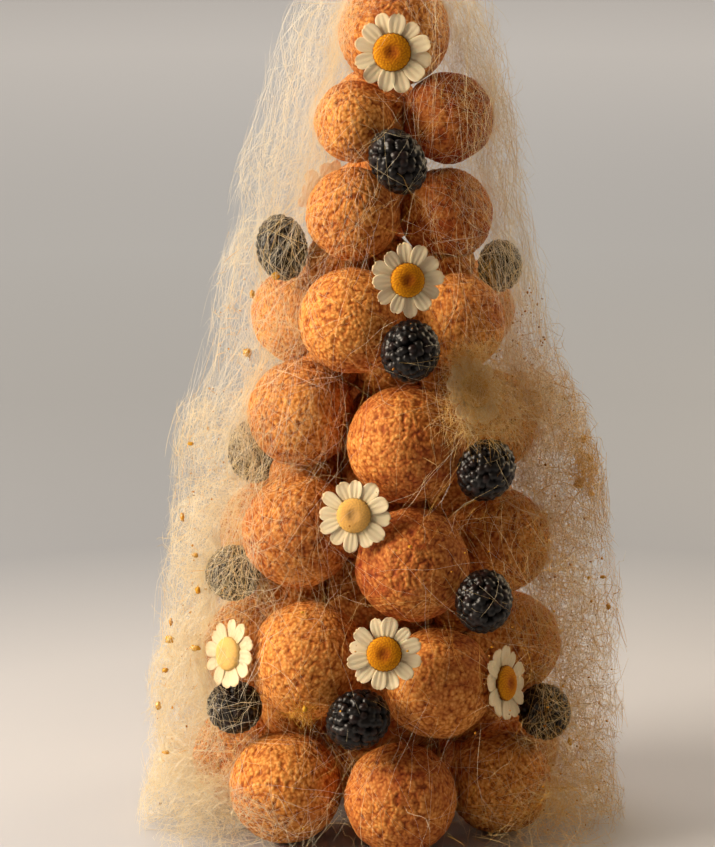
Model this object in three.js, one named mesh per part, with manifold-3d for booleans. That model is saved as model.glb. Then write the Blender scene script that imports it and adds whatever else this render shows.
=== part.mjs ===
// A croquembouche: a hollow tower of choux puffs with a craquelin crust, set in eight courses,
// dressed with brambles and daisies and wrapped in a web of spun sugar.
// Millimetres, +Z up. The origin is on the table, under the middle of the tower; the front is -Y.
import * as THREE from 'three';
import { mergeVertices } from 'three/addons/utils/BufferGeometryUtils.js';
import Module from 'manifold-3d';

const wasm = await Module();
wasm.setup();

// ---- driving dimensions -------------------------------------------------------------------

// One row for each course, from the table up: the radius of the ring, the azimuth of its first
// puff (degrees from the front, positive to the right), and then diameter and height of the
// middle of each puff, evenly spaced round the ring.
const COURSES = [
  { ring: 53, first: 8, puffs: [[44, 21], [41.5, 19.8], [43, 20.5], [44, 21], [43, 20.5], [43, 20.5], [44.5, 21.2]] },
  { ring: 49, first: -35, puffs: [[46, 72], [43.5, 64], [42, 69], [44, 66], [43, 68], [43.5, 65]] },
  { ring: 45, first: -47, puffs: [[44.5, 120], [44.5, 110], [42.5, 112], [44, 110], [43, 114], [44, 109]] },
  { ring: 37.5, first: -61, puffs: [[42, 163], [46, 155], [42.5, 157], [43, 155], [44, 157]] },
  { ring: 34, first: -24, puffs: [[41.5, 201], [38.5, 199], [40, 197], [41, 199], [39, 197]] },
  { ring: 21.5, first: -42, puffs: [[37, 239], [37, 237], [37, 238]] },
  { ring: 21.5, first: -42, puffs: [[32, 274], [36, 274], [36, 273]] },
  { ring: 0, first: 0, puffs: [[43.5, 306]] },
];

// The tower leans a little: its axis starts left of the origin and drifts to the right.
const AXIS_FOOT = -2.4;
const AXIS_DRIFT = 1 / 60; // millimetres to the right for each millimetre of height

const GAP = 0.3; // between two pieces that touch
const CRUST_RELIEF = 1.3; // depth of the craquelin's lumps and hollows
const PUFF_DETAIL = 2;
const FOOT_PRESS = 1.3; // a puff is pressed flat where it comes this near the table

// Brambles: azimuth, height, width, length, and how far the long axis turns from upright
// (degrees, positive to the right), each pressed in between the puffs round it.
const BRAMBLES = [
  { azimuth: 3, height: 262, width: 22, length: 28, roll: -30 },
  { azimuth: -71, height: 226, width: 21, length: 28, roll: -30 },
  { azimuth: 88, height: 217, width: 18.5, length: 22, roll: 30 },
  { azimuth: 8, height: 194, width: 23.5, length: 25.5, roll: 20 },
  { azimuth: -92, height: 144, width: 22, length: 27, roll: -20 },
  { azimuth: 34, height: 149, width: 23, length: 26, roll: 40 },
  { azimuth: -74, height: 100, width: 23, length: 26, roll: 60 },
  { azimuth: 30, height: 101, width: 23, length: 26, roll: 15 },
  { azimuth: -58, height: 52, width: 22, length: 25, roll: 80 },
  { azimuth: -8, height: 56, width: 24, length: 27, roll: 60 },
  { azimuth: 66, height: 48, width: 22, length: 25, roll: -30 },
  { azimuth: 150, height: 92, width: 23, length: 26, roll: 25 },
  { azimuth: 205, height: 182, width: 22, length: 26, roll: -40 },
  { azimuth: 232, height: 46, width: 23, length: 26, roll: 70 },
];
const DRUPELET_RISE = 0.1; // height of a drupelet, as a share of the berry's half width

// Daisies: azimuth, height and width, and the way the face looks (azimuth and elevation).
const DAISIES = [
  { azimuth: -2, height: 301, width: 31.5, faces: [-2, 8] },
  { azimuth: 6, height: 221, width: 28.5, faces: [10, 10] },
  { azimuth: -12, height: 132, width: 29, faces: [-12, 12] },
  { azimuth: -54, height: 75, width: 28, faces: [-48, 10] },
  { azimuth: 0, height: 82, width: 29, faces: [-4, 14] },
  { azimuth: 44, height: 65, width: 30, faces: [58, 8] },
  { azimuth: 35, height: 177, width: 28, faces: [38, 20] },
  { azimuth: 178, height: 134, width: 29, faces: [178, 15] },
  { azimuth: 216, height: 240, width: 28, faces: [212, 12] },
];
const PETALS = 12;
const PETAL_THICKNESS = 0.8;
const PETAL_WAVE = 0.7; // how far a petal's tip dips or rises
const DISC_SHARE = 0.46; // width of the yellow disc over the width of the flower
const DISC_RISE = 3.4;

// Spun sugar: ropes of caramel thread, wound up the tower both ways over one uneven cone, so
// that they cross and stick to each other. Each row is a height and how far the cone stands
// from the axis there: it is widest at the left, and at the right it swells below the middle.
const WEB_PROFILE = [
  { height: 0, left: 87, right: 90.5, front: 80, back: 83.5 },
  { height: 60, left: 86, right: 89.5, front: 78, back: 81.5 },
  { height: 130, left: 79, right: 80, front: 72, back: 75 },
  { height: 165, left: 72, right: 74, front: 66, back: 68 },
  { height: 200, left: 64, right: 54, front: 60, back: 60 },
  { height: 250, left: 54, right: 47, front: 46, back: 50 },
  { height: 300, left: 40, right: 42, front: 33, back: 34 },
  { height: 333, left: 24, right: 27, front: 16, back: 18 },
];
const WEB_FOOT = 3.5; // height of the lowest strand above the table
const WEB_TOP = 333;
const WEB_ROPES = 6; // wound each way
const WEB_TURNS = 0.5;
const WEB_STEPS = 22;
const WEB_ROPE_RADIUS = 1;
const WEB_SWAY = 1.8; // how far the cone waves in and out
const WEB_CLEARANCE = 2.2; // from a rope's middle to a puff or a topping

// ---- colours ------------------------------------------------------------------------------

const crust = (tone) => new THREE.MeshStandardMaterial({
  color: new THREE.Color('#c07a3e').offsetHSL(0, 0, tone), roughness: 0.85, metalness: 0,
});
const brambleSkin = () => new THREE.MeshStandardMaterial({ color: '#1f1c22', roughness: 0.4, metalness: 0 });
const petalWhite = () => new THREE.MeshStandardMaterial({ color: '#f0ead9', roughness: 0.7, metalness: 0 });
const caramel = () => new THREE.MeshStandardMaterial({ color: '#dcbf8c', roughness: 0.3, metalness: 0 });

// ---- helpers ------------------------------------------------------------------------------

// A repeatable stream of random numbers from 0 to 1, one stream for each seed.
function randomStream(seed) {
  let state = seed >>> 0;
  return () => {
    state = (state + 0x6d2b79f5) >>> 0;
    let mixed = Math.imul(state ^ (state >>> 15), 1 | state);
    mixed = (mixed + Math.imul(mixed ^ (mixed >>> 7), 61 | mixed)) ^ mixed;
    return ((mixed ^ (mixed >>> 14)) >>> 0) / 4294967296;
  };
}

// The middle of the tower at a height.
const axisAt = (height) => new THREE.Vector3(AXIS_FOOT + AXIS_DRIFT * height, 0, height);

// The direction of an azimuth (from the front, positive to the right) and an elevation.
function heading(azimuth, elevation = 0) {
  const a = THREE.MathUtils.degToRad(azimuth);
  const e = THREE.MathUtils.degToRad(elevation);
  return new THREE.Vector3(Math.sin(a) * Math.cos(e), -Math.cos(a) * Math.cos(e), Math.sin(e));
}

// A closed mesh with shared corners and flat faces, from a geometry that repeats its corners.
function sealed(geometry) {
  geometry.deleteAttribute('normal');
  geometry.deleteAttribute('uv');
  return mergeVertices(geometry, 1e-4);
}

// Every corner of a geometry, moved by a function.
function reshape(geometry, move) {
  const corners = geometry.attributes.position;
  const corner = new THREE.Vector3();
  for (let i = 0; i < corners.count; i += 1) {
    corner.fromBufferAttribute(corners, i);
    move(corner, i);
    corners.setXYZ(i, corner.x, corner.y, corner.z);
  }
  return geometry;
}

// Slides a topping in towards the axis until it touches. The topping is a list of points round
// its own middle, each with a radius; the tower is a list of balls. Gives the middle's place.
function nestle(start, outward, points, balls) {
  let reach = 0;
  for (const ball of balls) {
    for (const { at, radius } of points) {
      // |start + s * outward + at - ball| = radii + gap: the larger root is where they touch.
      const offset = start.clone().add(at).sub(ball.at);
      const along = offset.dot(outward);
      const contact = ball.radius + radius + GAP;
      const root = along * along - offset.lengthSq() + contact * contact;
      if (root > 0) reach = Math.max(reach, Math.sqrt(root) - along);
    }
  }
  return start.clone().addScaledVector(outward, reach);
}

function named(name, geometry, material) {
  const mesh = new THREE.Mesh(geometry, material);
  mesh.name = name;
  return mesh;
}

// ---- puffs --------------------------------------------------------------------------------

// The balls that the puffs fill.
function stackPuffs() {
  return COURSES.flatMap(({ ring, first, puffs }, course) => puffs.map(([diameter, height], index) => ({
    name: `puff_${course + 1}_${index + 1}`,
    at: axisAt(height).addScaledVector(heading(first + (360 * index) / puffs.length), ring),
    radius: diameter / 2,
  })));
}

// Lumps of the crust on a unit sphere: three crossed waves, from 0 (a hollow) to 1 (a lump).
function lumps(seed) {
  const random = randomStream(seed);
  const waves = [3.1, 4.7, 6.3].map((pitch) => ({
    along: new THREE.Vector3(random() - 0.5, random() - 0.5, random() - 0.5).normalize(),
    pitch,
    shift: random() * Math.PI * 2,
  }));
  return (direction) => 0.5 + waves.reduce(
    (sum, { along, pitch, shift }) => sum + Math.sin(direction.dot(along) * pitch + shift), 0,
  ) / 6;
}

// A puff is a ball with a lumpy crust. Where it presses on a neighbour, both are flat, and the
// lowest course has flat bases on the table.
function puffGeometry(puff, puffs, seed) {
  const crustAt = lumps(seed);
  const random = randomStream(seed * 7 + 3);
  const geometry = sealed(new THREE.IcosahedronGeometry(1, PUFF_DETAIL));
  const pressed = puffs.filter((other) => other !== puff).map((other) => {
    const towards = other.at.clone().sub(puff.at);
    const distance = towards.length();
    const face = (distance ** 2 + puff.radius ** 2 - other.radius ** 2) / (2 * distance);
    return { towards: towards.divideScalar(distance), face: face - GAP / 2 };
  }).filter(({ face }) => face < puff.radius);
  return reshape(geometry, (corner) => {
    const crumb = 0.35 * random();
    const depth = CRUST_RELIEF * (1 - 0.65 * crustAt(corner) - crumb);
    corner.multiplyScalar(puff.radius - Math.max(depth, 0));
    for (const { towards, face } of pressed) {
      const over = corner.dot(towards) - face;
      if (over > 0) corner.addScaledVector(towards, -over);
    }
    if (corner.z + puff.at.z < FOOT_PRESS) corner.z = -puff.at.z;
  });
}

// ---- brambles -----------------------------------------------------------------------------

// A bramble is an egg of drupelets. On a ball of 180 triangles, 32 corners stand at the middle
// of a five- or six-sided patch: those are the drupelets' tops, and the rest lie between them.
function brambleGeometry({ width, length }) {
  const geometry = sealed(new THREE.IcosahedronGeometry(1, 2));
  const tops = new THREE.IcosahedronGeometry(1, 0);
  const corners = tops.attributes.position;
  const peaks = [];
  for (let face = 0; face < corners.count; face += 3) {
    const [a, b, c] = [0, 1, 2].map((k) => new THREE.Vector3().fromBufferAttribute(corners, face + k));
    peaks.push(a, b, c, a.clone().add(b).add(c).normalize());
  }
  const isPeak = (corner) => peaks.some((peak) => peak.distanceTo(corner) < 1e-3);
  return reshape(geometry, (corner) => {
    const swell = isPeak(corner) ? 1 : 1 - DRUPELET_RISE;
    const taper = 1 - 0.14 * Math.max(corner.z, 0);
    corner.set(corner.x * taper * width * 0.5, corner.y * taper * width * 0.5, corner.z * length * 0.5);
    corner.multiplyScalar(swell);
  });
}

function placeBramble(berry, balls) {
  const { azimuth, height, width, length, roll } = berry;
  const outward = heading(azimuth);
  const turn = new THREE.Quaternion().setFromAxisAngle(outward, THREE.MathUtils.degToRad(-roll));
  const long = new THREE.Vector3(0, 0, 1).applyQuaternion(turn);
  // Three balls along the long axis hold the whole egg.
  const span = (length - width) / 2;
  const points = [-1, 0, 1].map((k) => ({ at: long.clone().multiplyScalar(k * span), radius: width / 2 }));
  const at = nestle(axisAt(height), outward, points, balls);
  return { at, turn, balls: points.map((point) => ({ at: point.at.clone().add(at), radius: point.radius })) };
}

// ---- daisies ------------------------------------------------------------------------------

// A daisy lies in its own XY plane and faces +Z: a domed disc, and a thin ring of petals with
// round tips and notches between them. Petals are split into triangles alike on both faces.
function daisyGeometry({ width }, seed) {
  const random = randomStream(seed);
  const disc = (width * DISC_SHARE) / 2;
  const reach = width / 2;
  const points = [];
  const faces = [];
  const add = (radius, angle, z) => {
    points.push(radius * Math.cos(angle), radius * Math.sin(angle), z);
    return points.length / 3 - 1;
  };
  const step = (Math.PI * 2) / PETALS;
  const layers = [PETAL_THICKNESS / 2, -PETAL_THICKNESS / 2];
  // For each petal: inner corner, notch, and the two corners of its tip, on both faces.
  const petals = Array.from({ length: PETALS }, (_, k) => {
    const angle = k * step;
    const long = reach * (0.9 + 0.1 * random());
    const dip = PETAL_WAVE * (2 * random() - 1);
    return layers.map((z) => ({
      inner: add(disc * 0.96, angle, z),
      notch: add(disc * 1.28, angle, z),
      tipStart: add(long, angle + step * 0.27, z + dip),
      tipEnd: add(long, angle + step * 0.73, z + dip),
    }));
  });
  petals.forEach((petal, k) => {
    const next = petals[(k + 1) % PETALS];
    layers.forEach((_, side) => {
      const { inner, notch, tipStart, tipEnd } = petal[side];
      const ahead = next[side];
      const fan = [[inner, notch, ahead.inner], [ahead.inner, notch, ahead.notch],
        [notch, tipStart, ahead.notch], [ahead.notch, tipStart, tipEnd]];
      fan.forEach(([a, b, c]) => faces.push(...(side === 0 ? [a, b, c] : [a, c, b])));
    });
    const rim = (from, to) => {
      faces.push(petal[0][from], petal[1][from], petal[1][to]);
      faces.push(petal[0][from], petal[1][to], petal[0][to]);
    };
    rim('notch', 'tipStart');
    rim('tipStart', 'tipEnd');
    faces.push(petal[0].tipEnd, petal[1].tipEnd, next[1].notch);
    faces.push(petal[0].tipEnd, next[1].notch, next[0].notch);
  });
  // The dome, and the flat underside.
  const shoulder = petals.map((_, k) => add(disc * 0.72, k * step, DISC_RISE * 0.75));
  const crown = add(0, 0, DISC_RISE);
  const under = add(0, 0, -PETAL_THICKNESS / 2);
  petals.forEach((petal, k) => {
    const next = petals[(k + 1) % PETALS];
    const ahead = (k + 1) % PETALS;
    faces.push(petal[0].inner, next[0].inner, shoulder[ahead]);
    faces.push(petal[0].inner, shoulder[ahead], shoulder[k]);
    faces.push(shoulder[k], shoulder[ahead], crown);
    faces.push(next[1].inner, petal[1].inner, under);
  });
  const geometry = new THREE.BufferGeometry();
  geometry.setAttribute('position', new THREE.Float32BufferAttribute(points, 3));
  geometry.setIndex(faces);
  return geometry;
}

function placeDaisy(daisy, balls) {
  const { azimuth, height, width, faces } = daisy;
  const turn = new THREE.Quaternion().setFromUnitVectors(new THREE.Vector3(0, 0, 1), heading(...faces));
  // The flower's own space: points on rings under the petals and the disc.
  const underside = PETAL_THICKNESS / 2 + PETAL_WAVE;
  const points = [{ at: new THREE.Vector3(), radius: underside }];
  for (let ring = 1; ring <= 6; ring += 1) {
    for (let k = 0; k < 6 * ring; k += 1) {
      const angle = (k * Math.PI * 2) / (6 * ring);
      const radius = (ring * width) / 12;
      const at = new THREE.Vector3(radius * Math.cos(angle), radius * Math.sin(angle), 0);
      points.push({ at: at.applyQuaternion(turn), radius: underside });
    }
  }
  const at = nestle(axisAt(height), heading(azimuth), points, balls);
  const dome = { at: at.clone(), radius: DISC_RISE };
  return { at, turn, balls: [dome, ...points.map((point) => ({ at: point.at.clone().add(at), radius: 1.2 }))] };
}

// ---- spun sugar ---------------------------------------------------------------------------

// Radius of the web's cone towards an azimuth: between two rows of the profile, on an oval
// that has its own width at the left, the right, the front and the back, with a slow wave.
function webRadius(azimuth, height) {
  const a = THREE.MathUtils.degToRad(azimuth);
  const above = WEB_PROFILE.findIndex((row) => row.height >= height);
  const [low, high] = [WEB_PROFILE[Math.max(above - 1, 0)], WEB_PROFILE[above]];
  const share = high === low ? 0 : (height - low.height) / (high.height - low.height);
  const side = Math.sin(a) > 0 ? 'right' : 'left';
  const face = Math.cos(a) > 0 ? 'front' : 'back';
  const across = THREE.MathUtils.lerp(low[side], high[side], share) * Math.sin(a);
  const along = THREE.MathUtils.lerp(low[face], high[face], share) * Math.cos(a);
  return Math.hypot(across, along) + WEB_SWAY * Math.sin(a * 3 + height * 0.04);
}

// How far from the axis a rope has to pass to stay clear of the puffs and toppings.
function clearRadius(azimuth, height, balls) {
  const rope = [{ at: new THREE.Vector3(), radius: WEB_CLEARANCE }];
  return nestle(axisAt(height), heading(azimuth), rope, balls).distanceTo(axisAt(height));
}

// The course of one rope: on the cone, pushed out where something stands in its way between
// the middles of the two stretches that meet at each point.
function ropePath(start, way, foot, head, balls) {
  const place = (step) => ({
    azimuth: start + (way * 360 * WEB_TURNS * step) / WEB_STEPS,
    height: THREE.MathUtils.lerp(foot, head, step / WEB_STEPS),
  });
  return Array.from({ length: WEB_STEPS + 1 }, (_, step) => {
    const { azimuth, height } = place(step);
    const needed = [-0.6, -0.3, 0, 0.3, 0.6].map((offset) => {
      const near = place(THREE.MathUtils.clamp(step + offset, 0, WEB_STEPS));
      return clearRadius(near.azimuth, near.height, balls);
    });
    const reach = Math.max(webRadius(azimuth, height), ...needed);
    return axisAt(height).addScaledVector(heading(azimuth), reach);
  });
}

function asManifold(geometry) {
  return new wasm.Manifold(new wasm.Mesh({
    numProp: 3,
    vertProperties: new Float32Array(geometry.attributes.position.array),
    triVerts: new Uint32Array(geometry.index.array),
  }));
}

function webGeometry(balls) {
  const section = new THREE.Shape();
  for (let k = 0; k < 3; k += 1) {
    const angle = (k * Math.PI * 2) / 3;
    const corner = [WEB_ROPE_RADIUS * Math.cos(angle), WEB_ROPE_RADIUS * Math.sin(angle)];
    if (k === 0) section.moveTo(...corner);
    else section.lineTo(...corner);
  }
  const ropes = [1, -1].flatMap((way) => Array.from({ length: WEB_ROPES }, (_, k) => {
    const start = ((k + (way < 0 ? 0.5 : 0)) * 360) / WEB_ROPES;
    const random = randomStream(900 + k * 2 + way);
    const foot = WEB_FOOT + 6 * random();
    const head = WEB_TOP - 14 * random();
    const path = ropePath(start, way, foot, head, balls);
    return asManifold(sealed(new THREE.ExtrudeGeometry(section, {
      extrudePath: new THREE.CatmullRomCurve3(path), steps: WEB_STEPS, bevelEnabled: false,
    })));
  }));
  const joined = ropes.reduce((web, rope) => web.add(rope));
  const whole = joined.decompose().reduce((big, piece) => (piece.numTri() > big.numTri() ? piece : big));
  const mesh = whole.getMesh();
  const geometry = new THREE.BufferGeometry();
  geometry.setAttribute('position', new THREE.Float32BufferAttribute(mesh.vertProperties, mesh.numProp));
  geometry.setIndex(Array.from(mesh.triVerts));
  return geometry;
}

// ---- the tower ----------------------------------------------------------------------------

const tower = new THREE.Group();
const puffs = stackPuffs();
const balls = puffs.map(({ at, radius }) => ({ at, radius }));

puffs.forEach((puff, index) => {
  const tone = 0.05 * Math.sin(index * 2.4);
  const mesh = named(puff.name, puffGeometry(puff, puffs, index + 1), crust(tone));
  mesh.position.copy(puff.at);
  tower.add(mesh);
});

const addTopping = (name, geometry, material, { at, turn, balls: own }) => {
  const mesh = named(name, geometry, material);
  mesh.position.copy(at);
  mesh.quaternion.copy(turn);
  tower.add(mesh);
  balls.push(...own);
};
BRAMBLES.forEach((berry, k) => {
  addTopping(`bramble_${k + 1}`, brambleGeometry(berry), brambleSkin(), placeBramble(berry, balls));
});
DAISIES.forEach((daisy, k) => {
  addTopping(`daisy_${k + 1}`, daisyGeometry(daisy, 40 + k), petalWhite(), placeDaisy(daisy, balls));
});
tower.add(named('spun_sugar', webGeometry(balls), caramel()));

export default tower;
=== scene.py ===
"""A croquembouche: craquelin puffs, brambles and daisies in a cloud of spun sugar.

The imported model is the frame. Every CAD node is replaced here by a finely modelled piece in the
same place: each puff, bramble and daisy by its own, and the web of ropes by clouds of thread.
Shapes are worked out in millimetres, as whole numpy arrays, and become metres in add_piece.
"""

from __future__ import annotations

import functools
import logging
import math
from collections.abc import Mapping, Sequence
from dataclasses import dataclass, field
from enum import Enum

import bpy
import numpy as np
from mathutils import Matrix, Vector

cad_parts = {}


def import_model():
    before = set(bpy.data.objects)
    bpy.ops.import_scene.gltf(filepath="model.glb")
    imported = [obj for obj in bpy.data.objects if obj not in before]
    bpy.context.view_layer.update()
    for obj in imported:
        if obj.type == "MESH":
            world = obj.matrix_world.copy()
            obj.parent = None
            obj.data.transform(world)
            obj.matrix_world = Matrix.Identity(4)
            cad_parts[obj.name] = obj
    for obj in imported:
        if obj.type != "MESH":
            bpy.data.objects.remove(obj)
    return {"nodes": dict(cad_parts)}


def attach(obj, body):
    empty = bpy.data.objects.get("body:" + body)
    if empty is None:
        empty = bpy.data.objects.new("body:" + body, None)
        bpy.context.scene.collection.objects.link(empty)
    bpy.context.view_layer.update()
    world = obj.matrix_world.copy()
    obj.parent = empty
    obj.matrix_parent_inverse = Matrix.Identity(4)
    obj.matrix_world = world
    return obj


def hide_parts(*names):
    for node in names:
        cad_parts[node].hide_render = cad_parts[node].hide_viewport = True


LOG = logging.getLogger("croquembouche")
Array = np.ndarray
Colour = tuple[float, float, float, float]
Span = tuple[float, float]  # the least and the most, or a middle and a spread
Stops = tuple[tuple[float, str], ...]  # places and colours of a ramp
Values = tuple[tuple[str, float], ...]  # inputs of a shader and what each is set to
Sockets = dict[str, bpy.types.NodeSocket]  # what feeds each input of a shader

MM = 0.001  # metres in a millimetre
BODY = "root"  # the one body that every piece rides on
GOLDEN_TURN = math.pi * (3 - math.sqrt(5))  # from one seed of a sunflower to the next

# Seeds of the random numbers. The pieces of a kind count up from the first of theirs.
CORE_SEED, BRAMBLE_SEED, DAISY_SEED, SUGAR_SEED, BEAD_SEED = 60, 200, 300, 400, 71
PEBBLE_SEED, PATCH_SEED, LUMP_SEED = 50, 77, 500  # added to the puff's own
FRECKLE_SEED, LOCK_SEED, CLUMP_SEED, RAG_SEED = 78, 17, 29, 31

# The tower's axis: its place on the table, and its lean, as in the model.
AXIS_FOOT = -2.4
AXIS_DRIFT = 1 / 60
TOWER_HEIGHT = 334.0  # a little above the web of ropes


# ---- small tools --------------------------------------------------------------------------


def colour(code: str) -> Colour:
    """Linear colour, with full alpha, of an sRGB hex code such as #D38E4B."""
    shares = np.array([int(code[at : at + 2], 16) for at in (1, 3, 5)]) / 255
    linear = np.where(shares <= 0.04045, shares / 12.92, ((shares + 0.055) / 1.055) ** 2.4)
    return (*linear.tolist(), 1.0)


def unit(vectors: Array) -> Array:
    """Vectors of length 1, along the last axis of an array."""
    return vectors / np.maximum(np.linalg.norm(vectors, axis=-1, keepdims=True), 1e-12)


def ease(low: float, high: float, values: Array) -> Array:
    """A smooth step: 0 below low, 1 above high, and 3t^2 - 2t^3 between them."""
    t = np.clip((values - low) / (high - low), 0.0, 1.0)
    return t * t * (3 - 2 * t)


def hashed(cells: Array, seed: float) -> Array:
    """Three repeatable numbers from 0 to 1 for each whole-numbered cell.

    Args:
        cells: cell indices, with 3 in the last axis.
        seed: any number; another seed gives other numbers.

    Returns:
        The fractions of a large multiple of a sine of a weighted sum of the indices.
    """
    weights = np.array([[127.1, 269.5, 419.2], [311.7, 183.3, 371.9], [74.7, 246.1, 168.3]])
    return np.modf(np.abs(np.sin(cells @ weights + seed * 1.37)) * 43758.5453)[0]


def grains(points: Array, pitch: float, seed: float) -> tuple[Array, Array]:
    """Distance to the nearest and the next nearest of one random point in each cubic cell.

    Args:
        points: places in millimetres, (n, 3).
        pitch: side of a cell in millimetres.
        seed: seed of the random points.

    Returns:
        Both distances as shares of the pitch.
    """
    scaled = points / pitch
    home = np.floor(scaled)
    near = np.full(len(points), np.inf)
    following = near.copy()
    for offset in np.stack(np.meshgrid(*[[-1, 0, 1]] * 3), -1).reshape(-1, 3):
        cell = home + offset
        gap = np.linalg.norm(cell + hashed(cell, seed) - scaled, axis=1)
        following = np.minimum(following, np.maximum(near, gap))
        near = np.minimum(near, gap)
    return near, following


def swells(points: Array, pitch: float, seed: int, waves: int = 5) -> Array:
    """Soft lumps from about -1 to 1: the mean of sines that run in random directions.

    Args:
        points: places in millimetres, (..., 3).
        pitch: length of a wave in millimetres.
        seed: seed of the directions and shifts.
        waves: number of sines.

    Returns:
        One value for each place.
    """
    random = np.random.default_rng(seed)
    ways = unit(random.normal(size=(waves, 3))) * random.uniform(0.75, 1.35, (waves, 1))
    shifts = random.uniform(0, 2 * math.pi, waves)
    return np.sin(points @ ways.T * (2 * math.pi / pitch) + shifts).mean(-1) * 1.6


@functools.lru_cache
def ball_grid(steps: int) -> tuple[Array, Array]:
    """An even grid of quads on a unit ball, closed and with no poles.

    Six square grids of tangents of equal angles are put on the sides of a cube, each with its
    faces looking out, drawn in to length 1 and welded where they meet.

    Args:
        steps: quads along a side of the cube.

    Returns:
        Directions (n, 3) and quads (m, 4).
    """
    line = np.tan(np.linspace(-1, 1, steps + 1) * math.pi / 4)
    a, b = (side.ravel() for side in np.meshgrid(line, line, indexing="ij"))
    one = np.ones_like(a)
    sides = [(one, a, b), (-one, b, a), (b, one, a), (a, -one, b), (a, b, one), (b, a, -one)]
    loose = unit(np.concatenate([np.stack(side, -1) for side in sides]))
    corner = np.arange((steps + 1) ** 2).reshape(steps + 1, steps + 1)
    quads = np.stack([corner[:-1, :-1], corner[1:, :-1], corner[1:, 1:], corner[:-1, 1:]], -1)
    quads = np.concatenate([quads.reshape(-1, 4) + k * len(a) for k in range(len(sides))])
    _, kept, joined = np.unique(
        np.round(loose, 6), axis=0, return_index=True, return_inverse=True
    )
    return loose[kept], joined.ravel()[quads]


@functools.lru_cache
def ball_chart(steps: int, margin: float = 0.02) -> Array:
    """A UV place for each corner of the quads of ball_grid: its six sides, in two rows."""
    i, j = (side.ravel() for side in np.meshgrid(*[np.arange(steps)] * 2, indexing="ij"))
    ring = ((i, j), (i + 1, j), (i + 1, j + 1), (i, j + 1))
    quads = np.stack([np.stack(corner, -1) for corner in ring], 1)
    inset = quads / steps * (1 - 2 * margin) + margin
    return np.concatenate([(inset + (k % 3, k // 3)) / (3, 2) for k in range(6)])


def fit_ball(points: Array, slack: float = 0.9, rounds: int = 6) -> tuple[Array, float]:
    """The ball that a node's outermost corners lie on.

    Least squares on |p|^2 = 2 c.p + k, again and again without the corners that lie further
    inside than the slack, which are where the ball is pressed flat.

    Args:
        points: the node's corners, (n, 3).
        slack: how far inside the ball a corner may lie and still count.
        rounds: number of fits.

    Returns:
        The middle and the radius.
    """
    kept = np.ones(len(points), bool)
    for _ in range(rounds):
        terms = np.c_[2 * points[kept], np.ones(kept.sum())]
        answer = np.linalg.lstsq(terms, (points[kept] ** 2).sum(1), rcond=None)[0]
        middle, radius = answer[:3], math.sqrt(answer[3] + answer[:3] @ answer[:3])
        kept = np.linalg.norm(points - middle, axis=1) > radius - slack
    return middle, radius


def node_corners(node: bpy.types.Object) -> Array:
    """The corners of a CAD node in millimetres, each once."""
    places = np.empty(len(node.data.vertices) * 3, np.float32)
    node.data.vertices.foreach_get("co", places)
    return np.unique(np.round(places.reshape(-1, 3).astype(float) / MM, 4), axis=0)


def main_axes(points: Array) -> tuple[Array, Array]:
    """The middle of a cloud of points, and its axes as rows, from the longest to the shortest."""
    middle = points.mean(0)
    _, _, axes = np.linalg.svd(points - middle, full_matrices=False)
    axes[2] = np.cross(axes[0], axes[1])
    return middle, axes


def axis_at(height: Array | float) -> Array:
    """The middle of the tower at a height."""
    height = np.asarray(height, float)
    return np.stack([AXIS_FOOT + AXIS_DRIFT * height, np.zeros_like(height), height], -1)


def heading(azimuth: Array | float) -> Array:
    """The level direction of an azimuth in degrees: from the front, and positive to the right."""
    a = np.radians(azimuth)
    return np.stack([np.sin(a), -np.cos(a), np.zeros_like(a)], -1)


# ---- pieces and materials -----------------------------------------------------------------


def add_piece(
    name: str,
    points: Array,
    faces: Array,
    finish: Finish,
    replaced: Sequence[str],
    fields: Mapping[str, Array] | None = None,
    chart: Array | None = None,
) -> bpy.types.Object:
    """Makes a mesh piece that rides on the tower and stands for some CAD nodes.

    Args:
        name: the piece's name.
        points: corners in millimetres, (n, 3).
        faces: corner indices, (m, 3) or (m, 4), facing out.
        finish: the finish that dresses it.
        replaced: the CAD nodes that it stands for.
        fields: values for each corner that its material reads.
        chart: a UV place for each corner of each face, (m, 3 or 4, 2).

    Returns:
        The piece's object, at the origin.
    """
    mesh = bpy.data.meshes.new(name)
    sides = faces.shape[1]
    mesh.vertices.add(len(points))
    mesh.vertices.foreach_set("co", (points * MM).astype(np.float32).ravel())
    mesh.loops.add(faces.size)
    mesh.loops.foreach_set("vertex_index", faces.astype(np.int32).ravel())
    mesh.polygons.add(len(faces))
    mesh.polygons.foreach_set("loop_start", np.arange(0, faces.size, sides, dtype=np.int32))
    mesh.update(calc_edges=True)
    mesh.shade_smooth()
    for label, values in (fields or {}).items():
        layer = mesh.attributes.new(label, "FLOAT", "POINT")
        layer.data.foreach_set("value", values.astype(np.float32).ravel())
    if chart is not None:
        layer = mesh.uv_layers.new(name="OFBake")
        layer.uv.foreach_set("vector", chart.astype(np.float32).ravel())
    mesh.materials.append(finish.material)
    piece = bpy.data.objects.new(name, mesh)
    bpy.context.scene.collection.objects.link(piece)
    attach(piece, BODY)
    if replaced:
        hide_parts(*replaced)
    return piece


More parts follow.
